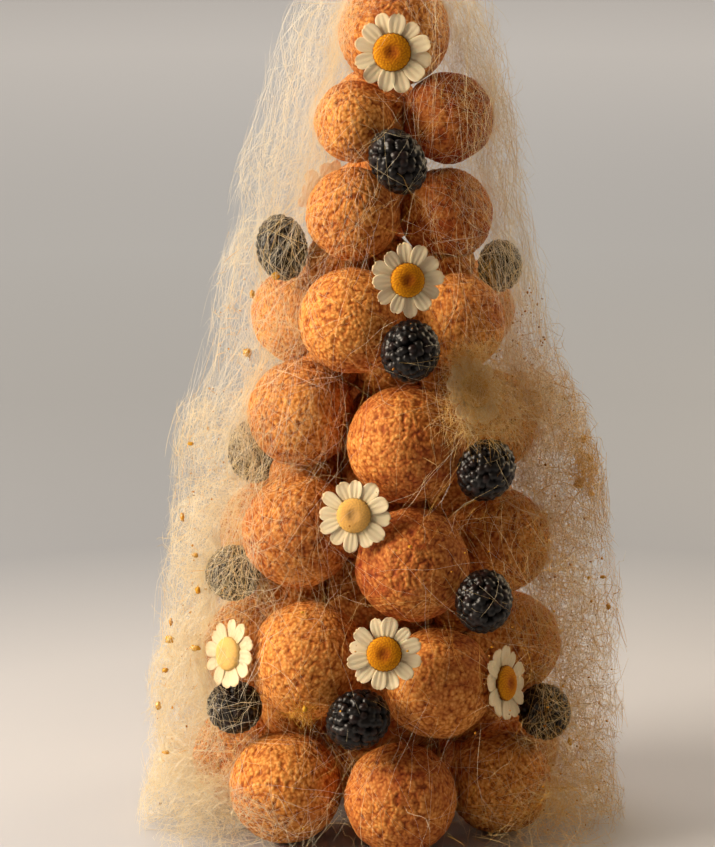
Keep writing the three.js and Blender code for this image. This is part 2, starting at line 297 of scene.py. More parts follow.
def add_node(
    tree: bpy.types.NodeTree,
    kind: str,
    settings: Mapping[str | int, object] | None = None,
    links: Mapping[str | int, bpy.types.NodeSocket] | None = None,
) -> bpy.types.Node:
    """Adds a shader node with its settings and links.

    Args:
        tree: the material's node tree.
        kind: the node's type without "ShaderNode".
        settings: a value for each input or property; "stops" fills a colour ramp.
        links: the output that feeds each input.

    Returns:
        The node.
    """
    node = tree.nodes.new("ShaderNode" + kind)
    for name, value in (settings or {}).items():
        if name == "stops":
            ramp = node.color_ramp.elements
            while len(ramp) < len(value):
                ramp.new(1.0)
            for element, (place, code) in zip(ramp, value):
                element.position, element.color = place, colour(code)
        elif isinstance(name, int) or name in node.inputs:
            node.inputs[name].default_value = value
        else:
            setattr(node, name, value)
    for name, source in (links or {}).items():
        tree.links.new(source, node.inputs[name])
    return node


@dataclass(frozen=True)
class Finish:
    """A material: its name, which is its slot, and its plain values."""

    slot: str
    roughness: float
    plain: Values = ()  # other inputs of its shader

    @functools.cached_property
    def material(self) -> bpy.types.Material:
        """The Blender material, made when it is first asked for."""
        material = bpy.data.materials.new(self.slot)
        material.use_nodes = True
        tree = material.node_tree
        tree.nodes.clear()
        values = {"Roughness": self.roughness, **dict(self.plain)}
        shader = add_node(tree, "BsdfPrincipled", values, self.dress(tree))
        add_node(tree, "OutputMaterial", links={"Surface": shader.outputs[0]})
        return material

    def dress(self, tree: bpy.types.NodeTree) -> Sockets:
        """Adds the nodes of this finish, and gives what feeds its shader."""
        raise NotImplementedError


@dataclass(frozen=True)
class Craquelin(Finish):
    """Craquelin: a butter, sugar and flour paste baked on choux until it cracks.

    It looks dry and pebbly: pale gold on the crumbs' tops, toasted brown in the cracks, which are
    darkened further with painted shade.
    """

    slot: str = "choux_crust"
    roughness: float = 0.78
    plain: Values = (("Specular IOR Level", 0.3),)
    # from the cracks to the crumbs' tops; the dark end is toasting and painted shade
    toast_and_shade: Stops = ((0.0, "#78340A"), (0.3, "#B05E18"), (0.6, "#DC8E3E"), (1.0, "#F6B866"))
    # at the highest bake: browning, and for a few puffs painted shade
    browned_and_shaded: str = "#B06A34"  # what the darkest bake leaves of the colour
    sugar_grain: float = 0.45  # millimetres
    granule: float = 1.4  # millimetres from granule to granule
    granule_rise: float = 0.55  # millimetres
    dryness: Span = (-0.16, 0.14)  # what the grain adds to the roughness

    def dress(self, tree: bpy.types.NodeTree) -> Sockets:
        """Colours by the crust's relief and by how brown each puff is drawn, with rounded granules
        and sandy grains. The cracks and the granules' rims are darkened as painted shade.
        """
        place = add_node(tree, "TexCoord").outputs["Object"]
        relief, bake = (
            add_node(tree, "Attribute", {"attribute_name": name}).outputs["Fac"]
            for name in ("relief", "bake")
        )
        grain = {"Scale": 1 / (self.sugar_grain * MM), "Detail": 3.0, "Roughness": 0.6}
        sand = add_node(tree, "TexNoise", grain, {"Vector": place}).outputs["Fac"]
        granule = {"Scale": 1 / (self.granule * MM)}
        cells = add_node(tree, "TexVoronoi", granule, {"Vector": place}).outputs["Distance"]
        # granule rims sink; their darker colour is painted shade, the bump reads the same heights
        rounding = {"From Min": 0.15, "From Max": 0.8, "To Min": 0.16, "To Max": -0.36}
        domes = add_node(tree, "MapRange", rounding, {"Value": cells}).outputs[0]
        speckle = {"To Min": -0.08, "To Max": 0.08}
        specks = add_node(tree, "MapRange", speckle, {"Value": sand}).outputs[0]
        fine = add_node(tree, "Math", {"operation": "ADD"}, {0: domes, 1: specks}).outputs[0]
        height = add_node(tree, "Math", {"operation": "ADD"}, {0: relief, 1: fine}).outputs[0]
        crust = add_node(tree, "ValToRGB", {"stops": self.toast_and_shade}, {"Fac": height}).outputs[0]
        browning_and_shading = {"data_type": "RGBA", "blend_type": "MULTIPLY", 7: colour(self.browned_and_shaded)}
        browned_and_shaded = add_node(tree, "Mix", browning_and_shading, {0: bake, 6: crust}).outputs[2]
        least, most = (self.roughness + change for change in self.dryness)
        dry = add_node(tree, "MapRange", {"To Min": least, "To Max": most}, {"Value": sand})
        rise = {"Strength": 0.85, "Distance": self.granule_rise * MM}
        bump = add_node(tree, "Bump", rise, {"Height": fine})
        return {"Base Color": browned_and_shaded, "Roughness": dry.outputs[0], "Normal": bump.outputs[0]}


@dataclass(frozen=True)
class BrambleSkin(Finish):
    """Bramble skin: taut, waxy fruit skin, almost black, with soft small highlights."""

    slot: str = "bramble_skin"
    roughness: float = 0.26
    ripeness: Stops = ((0.0, "#080504"), (0.6, "#0F0908"), (1.0, "#1F0D0A"))
    # the hollows' colour: painted shade between the drupelets
    hollow: str = "#040202"  # between two drupelets
    bloom: float = 1.6  # millimetres across a dull patch
    dulling: Span = (-0.04, 0.2)  # what the bloom adds to the roughness
    shine: float = 0.36  # of the drupelets; the hollows have none

    def dress(self, tree: bpy.types.NodeTree) -> Sockets:
        """Colours each drupelet a little, dulls it in patches, and blackens the hollows between
        drupelets as painted shade.
        """
        place = add_node(tree, "TexCoord").outputs["Object"]
        ripe, hollow = (
            add_node(tree, "Attribute", {"attribute_name": name}).outputs["Fac"]
            for name in ("ripeness", "hollow")
        )
        skin = add_node(tree, "ValToRGB", {"stops": self.ripeness}, {"Fac": ripe}).outputs[0]
        black = {"data_type": "RGBA", 7: colour(self.hollow)}
        dark = add_node(tree, "Mix", black, {0: hollow, 6: skin}).outputs[2]
        patch = {"Scale": 1 / (self.bloom * MM), "Detail": 2.0}
        patches = add_node(tree, "TexNoise", patch, {"Vector": place}).outputs["Fac"]
        least, most = (self.roughness + change for change in self.dulling)
        dull = add_node(tree, "MapRange", {"To Min": least, "To Max": most}, {"Value": patches})
        fading = {"To Min": self.shine, "To Max": 0.0}
        shine = add_node(tree, "MapRange", fading, {"Value": hollow}).outputs[0]
        return {"Base Color": dark, "Roughness": dull.outputs[0], "Specular IOR Level": shine}


@dataclass(frozen=True)
class Petal(Finish):
    """Daisy petal: thin white ray floret, soft and a little translucent, ribbed lengthwise."""

    slot: str = "petal_white"
    roughness: float = 0.62
    plain: Values = (("Subsurface Weight", 0.12), ("Subsurface Scale", MM), ("Sheen Weight", 0.1))
    length: Stops = ((0.0, "#C6B274"), (0.25, "#DECBA4"), (0.8, "#E8D6B2"), (1.0, "#E0C696"))
    rib_depth: float = 0.12  # millimetres

    def dress(self, tree: bpy.types.NodeTree) -> Sockets:
        """Colours from the root to the tip, with ribs as bump."""
        along, ribs = (
            add_node(tree, "Attribute", {"attribute_name": name}).outputs["Fac"]
            for name in ("along", "ribs")
        )
        white = add_node(tree, "ValToRGB", {"stops": self.length}, {"Fac": along}).outputs[0]
        ribbing = {"Strength": 0.5, "Distance": self.rib_depth * MM}
        bump = add_node(tree, "Bump", ribbing, {"Height": ribs}).outputs[0]
        return {"Base Color": white, "Normal": bump}


@dataclass(frozen=True)
class DaisyDisc(Finish):
    """Disc florets: a velvety golden dome of tiny tubes, toasted in the middle, some drawn paler.
    """

    slot: str = "daisy_disc"
    roughness: float = 0.8
    plain: Values = (("Specular IOR Level", 0.2),)
    rings: Stops = (
        (0.0, "#A25400"),
        (0.28, "#C07000"),
        (0.5, "#E29600"),
        (0.93, "#ECA808"),
        (1.0, "#6C3C02"),
    )
    # the colour between two florets: painted shade
    seam_shade: str = "#B07410"  # between two florets
    seam_share: float = 0.75
    paler_disc: str = "#F4D488"

    def dress(self, tree: bpy.types.NodeTree) -> Sockets:
        """Colours by ring from the middle out, darker between the florets as painted shade, and
        paler where the disc is drawn pale.
        """
        ring, floret, pale = (
            add_node(tree, "Attribute", {"attribute_name": name}).outputs["Fac"]
            for name in ("ring", "floret", "pale")
        )
        gold = add_node(tree, "ValToRGB", {"stops": self.rings}, {"Fac": ring}).outputs[0]
        fading = {"To Min": self.seam_share, "To Max": 0.0}
        seams = add_node(tree, "MapRange", fading, {"Value": floret}).outputs[0]
        shading = {"data_type": "RGBA", "blend_type": "MULTIPLY", 7: colour(self.seam_shade)}
        shaded = add_node(tree, "Mix", shading, {0: seams, 6: gold}).outputs[2]
        paling = {"data_type": "RGBA", 7: colour(self.paler_disc)}
        return {"Base Color": add_node(tree, "Mix", paling, {0: pale, 6: shaded}).outputs[2]}


@dataclass(frozen=True)
class BoiledSugar(Finish):
    """Boiled sugar, paler or darker by how far it has turned to caramel."""

    tints: Stops = ()

    def dress(self, tree: bpy.types.NodeTree) -> Sockets:
        """Colours each thread or bead by its tint."""
        tint = add_node(tree, "Attribute", {"attribute_name": "tint"}).outputs["Fac"]
        sugar = add_node(tree, "ValToRGB", {"stops": self.tints}, {"Fac": tint}).outputs[0]
        return {"Base Color": sugar}


@dataclass(frozen=True)
class PulledSugar(BoiledSugar):
    """Pulled caramel: boiled sugar flicked into hair-fine threads, pale and glossy."""

    slot: str = "spun_sugar"
    roughness: float = 0.32
    plain: Values = (("IOR", 1.5),)
    tints: Stops = (
        (0.0, "#F6F0E2"),
        (0.14, "#F4E6C6"),
        (0.4, "#F0D69C"),
        (0.7, "#E4AE46"),
        (1.0, "#C07E18"),
    )


@dataclass(frozen=True)
class CaramelDrop(BoiledSugar):
    """Caramel bead: boiled sugar that set where a thread broke, amber and glassy."""

    slot: str = "caramel_drop"
    roughness: float = 0.14
    plain: Values = (("Transmission Weight", 0.25), ("IOR", 1.5))
    tints: Stops = ((0.0, "#F2BE3C"), (0.6, "#DA8E14"), (1.0, "#6E370C"))


# ---- puffs --------------------------------------------------------------------------------


@dataclass(frozen=True)
class Ball:
    """A ball that a puff, or part of a topping, fills."""

    middle: Array
    radius: float


# How brown most puffs are baked, and the puffs drawn paler or browner: puff_7_2 and puff_6_2
# browner as painted shade, puff_1_7 and puff_2_1 paler as painted light, the others browner.
USUAL_BAKE = 0.2
BAKES_AND_SHADES: Mapping[str, float] = {
    "puff_1_7": 0.02, "puff_2_1": 0.04, "puff_1_1": 0.42, "puff_3_2": 0.48, "puff_4_2": 0.36,
    "puff_5_1": 0.26, "puff_6_2": 0.55, "puff_7_2": 1.0,
}


@dataclass
class Puff:
    """One choux puff: a ball with a cracked, pebbly crust, pressed flat on its neighbours."""

    name: str
    ball: Ball
    seed: int
    node: str | None = None  # the CAD node that it stands for
    bake: float = USUAL_BAKE  # from 0, pale, to 1, brown
    steps: int = 37  # quads along a side of its grid
    outer_focus: float = 0.55  # how much the grid gathers on the side that shows
    crumb: float = 2.0  # millimetres across a crumb of the crust
    crumb_depth: float = 0.5
    pit: Span = (0.42, 0.9)  # crumbs from a crumb's middle, where a pit starts and is deepest
    crack: float = 0.3  # width of a crack, in crumbs
    crack_share: float = 0.25  # of the crumbs' depth; the pits have the rest
    pebble: float = 1.2  # millimetres across the finer crumbs
    pebble_depth: float = 0.2
    pebble_shift: float = 7.7  # millimetres from the crumbs' grid to the pebbles'
    lump: float = 15.0  # millimetres from lump to lump
    lump_depth: float = 0.6
    bend: float = 0.55  # millimetres that the rows of crumbs are bent by
    bend_pitch: float = 5.5
    squeeze: float = 0.82  # width of a crumb over its height
    patch: float = 34.0  # millimetres from browner to paler patch
    freckle: float = 7.0  # and from freckle to freckle
    apart: float = 61.0  # millimetres between the patterns of two puffs
    gap: float = 0.15  # left free on each side of a touch

    def outward(self) -> Array:
        """The way the puff's open side looks: away from the axis, a little forward and up."""
        away = self.ball.middle - axis_at(self.ball.middle[2])
        return unit(away + np.array([0.0, -0.02, 0.03]) * self.ball.radius)

    def crust(self, directions: Array) -> tuple[Array, Array]:
        """The crust's relief.

        Crumbs are high near a random point, with a pit where the nearest one is far off and
        a crack where two are equally far. Finer crumbs and slow lumps are added.

        Args:
            directions: directions from the puff's middle, (n, 3).

        Returns:
            The depth under the ball in millimetres, and the relief from 0, a crack, to 1.
        """
        places = directions * self.ball.radius + self.seed * self.apart
        warp = [swells(places, self.bend_pitch, self.seed * 9 + k, 3) for k in range(3)]
        bent = (places + self.bend * np.stack(warp, -1)) * [1.0, 1.0, self.squeeze]
        near, following = grains(bent, self.crumb, self.seed)
        crack = 1 - ease(0.0, self.crack, following - near)
        crumb = 1 - (1 - self.crack_share) * ease(*self.pit, near) - self.crack_share * crack
        fine, _ = grains(bent + self.pebble_shift, self.pebble, self.seed + PEBBLE_SEED)
        pebble = 1 - ease(0.15, 0.95, fine)
        lump = 0.5 + 0.5 * swells(places, self.lump, self.seed + LUMP_SEED)
        depth = (
            self.crumb_depth * (1 - crumb)
            + self.pebble_depth * (1 - pebble)
            + self.lump_depth * (1 - np.clip(lump, 0, 1))
        )
        return depth, 0.28 + 0.42 * crumb + 0.2 * pebble

    def pressed(self, points: Array, others: Sequence[Ball]) -> Array:
        """Presses the crust flat where another ball or the table is.

        Args:
            points: corners from the puff's middle.
            others: the balls of all puffs, this one too.

        Returns:
            The corners in their place in the tower.
        """
        for other in others:
            away = other.middle - self.ball.middle
            distance = float(np.linalg.norm(away))
            if other is self.ball or distance > self.ball.radius + other.radius:
                continue
            squares = distance**2 + self.ball.radius**2 - other.radius**2
            touch = squares / (2 * distance) - self.gap
            over = np.maximum(points @ (away / distance) - touch, 0)
            points = points - over[:, None] * (away / distance)
        points = points + self.ball.middle
        points[:, 2] = np.maximum(points[:, 2], 0)
        return points

    def build(self, others: Sequence[Ball], finish: Craquelin) -> bpy.types.Object:
        """Makes the puff's piece.

        Args:
            others: the balls of all puffs, this one too.
            finish: the crust's finish.

        Returns:
            The piece, which replaces the puff's node when it has one.
        """
        even, faces = ball_grid(self.steps)
        directions = unit(even + self.outer_focus * self.outward())
        depth, relief = self.crust(directions)
        points = self.pressed(directions * (self.ball.radius - depth)[:, None], others)
        # bake holds painted shade and light for some puffs, plus a little chance
        puff_tone = self.bake + np.random.default_rng(self.seed).uniform(-0.1, 0.1)
        patches = 0.25 * swells(points, self.patch, self.seed + PATCH_SEED)
        freckles = 0.22 * swells(points, self.freckle, FRECKLE_SEED)
        fields = {"relief": relief, "bake": np.clip(puff_tone + (patches + freckles), 0, 1)}
        chart = ball_chart(self.steps)
        replaced = [self.node] if self.node else []
        return add_piece(f"{self.name}_crust", points, faces, finish, replaced, fields, chart)


CRUST_RISE = 0.35  # millimetres that the crust's tops stand out of a node's ball

# The heap's core, of which only the dark between the puffs shows. Each of its balls has an
# azimuth, a distance from the axis, a height and a radius.
CORE_BALLS = (
    (0, 0, 24, 24), (0, 0, 46, 28), (0, 0, 68, 26), (0, 0, 90, 26), (0, 0, 112, 22),
    (0, 0, 134, 21), (0, 0, 157, 15), (0, 0, 178, 15), (0, 0, 199, 11.5), (0, 0, 219, 10),
    (0, 0, 256, 12), (0, 0, 274, 9),
    (-80, 32, 46, 17), (80, 32, 46, 17), (-80, 36, 90, 15), (80, 30, 90, 17),
    (-78, 31, 135, 15), (78, 28, 135, 16), (-80, 23, 178, 13), (80, 23, 178, 13),
    (-80, 20, 219, 13), (80, 20, 219, 13),
)
CORE_STEPS = 14  # quads along a side of a core ball's grid


def all_puffs(corners: Mapping[str, Array]) -> list[Puff]:
    """The puffs, each on its node's ball, and the balls of the heap's core.

    Args:
        corners: the corners of each puff's node.

    Returns:
        The puffs in the order of their names, and then the core.
    """
    puffs = []
    for seed, name in enumerate(sorted(corners), 1):
        middle, radius = fit_ball(corners[name])
        ball = Ball(middle, radius + CRUST_RISE)
        puffs.append(Puff(name, ball, seed, name, BAKES_AND_SHADES.get(name, USUAL_BAKE)))
    for k, (azimuth, offset, height, radius) in enumerate(CORE_BALLS, 1):
        ball = Ball(axis_at(height) + offset * heading(azimuth), radius)
        puffs.append(Puff(f"core_{k}", ball, CORE_SEED + k, steps=CORE_STEPS, outer_focus=0.0))
    return puffs


# ---- brambles -----------------------------------------------------------------------------


# The clear space round most brambles, and round those that lie wide open in the cloud.
USUAL_CLEARING = 1.1
CLEARINGS: Mapping[str, float] = {"bramble_2": 1.4, "bramble_5": 1.9}


@dataclass
class Bramble:
    """One bramble: drupelets set in a spiral over an egg-shaped core."""

    name: str
    corners: Array  # of its node
    seed: int
    clearing: float = USUAL_CLEARING  # radius that fewer threads cross, over the berry's own
    steps: int = 27
    spacing: float = 3.4  # millimetres from drupelet to drupelet
    crowding: float = 0.87  # skin for each drupelet, over the square of the spacing
    jitter: float = 0.035  # how far drupelets leave their place in the spiral
    swell: float = 0.56  # a drupelet's radius as a share of the spacing
    sizes: Span = (0.86, 1.08)  # of the drupelets, over the usual one
    sinking: float = 0.95  # how deep a drupelet's middle lies, over its radius
    core: float = 0.82  # the core's size as a share of the berry's
    form: tuple[Array, Array, Array] = field(init=False)  # middle, axes and half sizes

    def __post_init__(self) -> None:
        """Reads the berry's middle, axes and half sizes from its node."""
        middle, axes = main_axes(self.corners)
        spans = (self.corners - middle) @ axes.T
        middle = middle + (spans.max(0) + spans.min(0)) / 2 @ axes
        self.form = (middle, axes, (spans.max(0) - spans.min(0)) / 2)

    def balls(self) -> list[Ball]:
        """Three balls along the berry that hold it."""
        middle, axes, halves = self.form
        width = float(halves[1:].mean())
        span = max(float(halves[0]) - width, 0.0)
        return [Ball(middle + axes[0] * span * k, width) for k in (-1, 0, 1)]

    def face(self) -> Ball:
        """The space round the berry that fewer threads cross."""
        return Ball(self.form[0], self.clearing * float(self.form[2].mean()))

    def build(self, finish: BrambleSkin) -> bpy.types.Object:
        """Makes the berry's piece.

        Drupelets sit a golden turn apart on even levels. In each direction the skin is where
        the ray from the middle leaves the last drupelet: at along + sqrt(radius^2 - miss^2)
        for a ball that the ray misses by miss.

        Args:
            finish: the skin's finish.

        Returns:
            The piece, which replaces the berry's node.
        """
        middle, axes, halves = self.form
        random = np.random.default_rng(self.seed)
        area = 4 * math.pi * float(np.prod(halves)) ** (2 / 3)
        count = int(area / (self.crowding * self.spacing**2))
        turns = np.arange(count) + 0.5
        level = 1 - 2 * turns / count
        angle = turns * GOLDEN_TURN + random.uniform(0, 6)
        ring = np.sqrt(1 - level**2)
        spots = np.stack([level, ring * np.cos(angle), ring * np.sin(angle)], -1)
        spots = unit(spots + random.normal(scale=self.jitter, size=spots.shape))
        radii = self.spacing * self.swell * random.uniform(*self.sizes, count)
        spots = spots * (halves - radii[:, None] * self.sinking)
        directions, faces = ball_grid(self.steps)
        along = directions @ spots.T
        miss = (spots**2).sum(1) - along**2
        reach = np.where(miss < radii**2, along + np.sqrt(np.maximum(radii**2 - miss, 0)), 0)
        core = self.core / np.linalg.norm(directions / halves, axis=1)
        owner = reach.argmax(1)
        points = directions * np.maximum(reach.max(1), core)[:, None]
        share = miss[np.arange(len(miss)), owner] / radii[owner] ** 2
        # how deep in a hollow between drupelets each corner lies; the finish paints shade there
        hollow = np.where(reach.max(1) > core, ease(0.3, 0.95, share), 1.0)
        fields = {"ripeness": random.uniform(0, 1, count)[owner], "hollow": hollow}
        placed = points @ axes + middle
        chart = ball_chart(self.steps)
        return add_piece(f"{self.name}_skin", placed, faces, finish, [self.name], fields, chart)


# ---- daisies ------------------------------------------------------------------------------


# Daisies whose disc is drawn paler; daisy_4's is paler as painted light on the lit side.
PALE_DISCS: Mapping[str, float] = {"daisy_3": 0.4, "daisy_4": 0.6, "daisy_7": 0.3}


@dataclass
class Daisy:
    """One daisy: twelve thin petals round a golden dome of florets."""

    name: str
    corners: Array  # of its node
    seed: int
    # drawn paler; for daisy_4 this is painted light
    pale: float = 0.0  # how far the disc is bleached, up to 1
    petals: int = 12
    disc_share: float = 0.46  # width of the disc over the width of the flower
    disc_rise: float = 3.4
    thickness: float = 0.3
    breadth: Span = (0.7, 0.9)  # of a petal, over the room between two tips
    shoulder: Span = (0.56, 0.68)  # where a petal starts to close, from its root to its tip
    notch: float = 0.07  # depth of the deepest notch, over the petal's length
    lift: float = 0.3  # millimetres that petals lie over and under the middle, in turn
    cup: Span = (-0.1, 0.6)  # millimetres that a petal's edges rise
    twist: float = 0.45  # most millimetres that an edge rises and the other sinks
    curl: Span = (-0.3, 0.5)  # millimetres that a tip rises
    grid: tuple[int, int] = (14, 15)  # corners along and across a petal
    florets: int = 150
    floret_rise: float = 0.45
    dimple: float = 0.7  # depth of the hollow in the middle of the disc
    scallops: int = 26  # florets that show round the disc's rim
    disc_steps: int = 19
    hold_rings: int = 6  # rings of the small balls that hold the flower
    hold_radius: float = 1.9
    form: tuple[Array, Array, Array] = field(init=False)  # middle, axes (rows), petal tips

    def __post_init__(self) -> None:
        """Reads the flower's middle, axes and the reach and dip of each petal from its node.

        A petal's tip is its corners past 0.7 of the flower's reach, within 0.3 of the turn
        from petal to petal.
        """
        middle, axes = main_axes(self.corners)
        spans = (self.corners - middle) @ axes[2]
        face = axes[2] if spans.max() > -spans.min() else -axes[2]
        crown = self.corners[((self.corners - middle) @ face).argmax()]
        middle = crown - face * self.disc_rise
        turn = Vector((0, 0, 1)).rotation_difference(Vector(face))
        rows = np.array([turn @ Vector(way) for way in ((1, 0, 0), (0, 1, 0), (0, 0, 1))])
        local = (self.corners - middle) @ rows.T
        step = 2 * math.pi / self.petals
        place = np.arctan2(local[:, 1], local[:, 0]) / step % self.petals
        radius = np.hypot(local[:, 0], local[:, 1])
        tips = []
        for petal in range(self.petals):
            mine = (np.abs(place - petal - 0.5) < 0.3) & (radius > radius.max() * 0.7)
            tips.append((radius[mine].max(), local[mine, 2].mean()))
        self.form = (middle, rows, np.array(tips))

    def width(self) -> float:
        """The flower's width from tip to tip."""
        return 2 * float(self.form[2][:, 0].max())

    def balls(self) -> list[Ball]:
        """Small balls on rings under the flower's face, which hold it."""
        middle, rows, _ = self.form
        held = [Ball(middle, self.disc_rise)]
        for ring in range(self.hold_rings + 1):
            reach = self.width() * ring / (2 * self.hold_rings)
            count = max(6 * ring, 1)
            for angle in (2 * math.pi * k / count for k in range(count)):
                way = math.cos(angle) * rows[0] + math.sin(angle) * rows[1]
                held.append(Ball(middle + reach * way, self.hold_radius))
        return held

    def face(self) -> Ball:
        """The space in front of the flower that few threads cross."""
        middle, rows, _ = self.form
        return Ball(middle + 3.0 * rows[2], 0.37 * self.width())

    def petal(self, index: int, random: np.random.Generator) -> tuple[Array, Array, Array]:
        """One petal in the flower's own space, as two grids: its face and its back.

        The outline widens from the root to the shoulder. Beyond it the grid's square end is
        drawn into half an ellipse, x = t sqrt(1 - v^2 / 2) and y = v sqrt(1 - t^2 / 2), with
        up to two shallow notches. The face has three ribs and dips to its tip.

        Args:
            index: which petal.
            random: the flower's random numbers.

        Returns:
            Corners (2, along, across, 3), how far along each lies, and its ribs.
        """
        reach, dip = self.form[2][index]
        root = reach * self.disc_share * 0.82
        half = reach * math.sin(math.pi / self.petals) * random.uniform(*self.breadth)
        s, v = np.meshgrid(
            np.linspace(0, 1, self.grid[0]), np.linspace(-1, 1, self.grid[1]), indexing="ij"
        )
        shoulder = random.uniform(*self.shoulder)
        tip = np.clip((s - shoulder) / (1 - shoulder), 0, 1)
        u = np.minimum(s, shoulder) + (1 - shoulder) * tip * np.sqrt(1 - v**2 / 2)
        notches = sum(
            random.uniform(0.0, self.notch) * np.exp(-(((v - place) / 0.2) ** 2))
            for place in (random.uniform(-0.5, -0.2), random.uniform(0.2, 0.5))
        )
        wide = 0.52 + 0.48 * np.sin(np.minimum(s / shoulder, 1) * math.pi / 2)
        across = half * v * wide * np.sqrt(1 - tip**2 / 2)
        along = root + (reach - root) * (u - notches * tip**3)
        ribs = np.cos(3 * math.pi * v)
        lift = self.lift * (-1) ** index + random.uniform(-0.12, 0.12)
        cup = random.uniform(*self.cup)
        level = lift * (1 - 0.4 * u) + dip * u**1.6 + cup * v**2 * u + 0.07 * ribs * (1 - u)
        level = level + random.uniform(-self.twist, self.twist) * v * u
        level = level + random.uniform(*self.curl) * u**3
        face = np.stack([along, across, level + self.thickness / 2], -1)
        back = np.stack([along, across, level - self.thickness / 2], -1)
        turn = (index + 0.5 + random.uniform(-0.1, 0.1)) * 2 * math.pi / self.petals
        c, s = math.cos(turn), math.sin(turn)
        spin = np.array([[c, s, 0], [-s, c, 0], [0, 0, 1]])
        return np.stack([face, back]) @ spin, np.stack([u, u]), np.stack([ribs, ribs])

    def petal_faces(self) -> Array:
        """Quads of one petal: face, back, and the rim that joins them."""
        n, m = self.grid
        face = np.arange(n * m).reshape(n, m)
        back = face + n * m
        top = np.stack([face[:-1, :-1], face[1:, :-1], face[1:, 1:], face[:-1, 1:]], -1)
        under = np.stack([back[:-1, :-1], back[:-1, 1:], back[1:, 1:], back[1:, :-1]], -1)
        loop = np.concatenate([face[0, :-1], face[:-1, -1], face[-1, :0:-1], face[:0:-1, 0]])
        ahead = np.roll(loop, -1)
        rim = np.stack([loop, ahead, ahead + n * m, loop + n * m], -1)
        return np.concatenate([top.reshape(-1, 4), under.reshape(-1, 4), rim])

    def build(self, petal: Petal, disc: DaisyDisc) -> list[bpy.types.Object]:
        """Makes the petals and the disc.

        Args:
            petal: the petals' finish.
            disc: the disc's finish.

        Returns:
            Both pieces, which together replace the flower's node.
        """
        middle, rows, _ = self.form
        random = np.random.default_rng(self.seed)
        made = [self.petal(index, random) for index in range(self.petals)]
        points = np.concatenate([corners.reshape(-1, 3) for corners, _, _ in made])
        each = 2 * self.grid[0] * self.grid[1]
        faces = np.concatenate([self.petal_faces() + k * each for k in range(self.petals)])
        fields = {
            "along": np.concatenate([along.ravel() for _, along, _ in made]),
            "ribs": np.concatenate([ribs.ravel() for _, _, ribs in made]) * 0.5 + 0.5,
        }
        rays = add_piece(
            f"{self.name}_petals", points @ rows + middle, faces, petal, [self.name], fields
        )
        return [rays, self.dome(disc, random)]

    def dome(self, finish: DaisyDisc, random: np.random.Generator) -> bpy.types.Object:
        """The disc: a flattened ball whose top carries florets in a sunflower spiral.

        Args:
            finish: the disc's finish.
            random: the flower's random numbers.

        Returns:
            The disc's piece.
        """
        middle, rows, _ = self.form
        radius = self.width() * self.disc_share / 2
        ways, faces = ball_grid(self.disc_steps)
        ring = np.hypot(ways[:, 0], ways[:, 1])
        turns = np.arange(self.florets) + 0.5
        reach = np.sqrt(turns / self.florets)
        angle = turns * GOLDEN_TURN + random.uniform(0, 6)
        spots = np.stack([reach * np.cos(angle), reach * np.sin(angle)], -1)
        spots = spots + random.normal(scale=0.008, size=spots.shape)
        gap = np.linalg.norm(ways[:, None, :2] - spots[None], axis=-1).min(1)
        floret = 1 - ease(0.0, 1.15 / math.sqrt(self.florets), gap)
        above = ways[:, 2] > 0
        hollow = self.dimple * (1 - ease(0.0, 0.5, ring))
        crown = self.disc_rise - 0.5 - hollow + self.floret_rise * floret
        level = np.where(above, crown * np.abs(ways[:, 2]) ** 0.75, ways[:, 2] * 0.5)
        scallop = 1 + 0.022 * np.cos(self.scallops * np.arctan2(ways[:, 1], ways[:, 0]))
        wide = radius * np.where(above, scallop, 1.0)
        points = np.stack([ways[:, 0] * wide, ways[:, 1] * wide, level], -1)
        pale = np.full(len(ways), self.pale)
        fields = {"ring": ring, "floret": np.where(above, floret, 0.5), "pale": pale}
        placed = points @ rows + middle
        chart = ball_chart(self.disc_steps)
        return add_piece(f"{self.name}_disc", placed, faces, finish, [self.name], fields, chart)


# ---- spun sugar ---------------------------------------------------------------------------


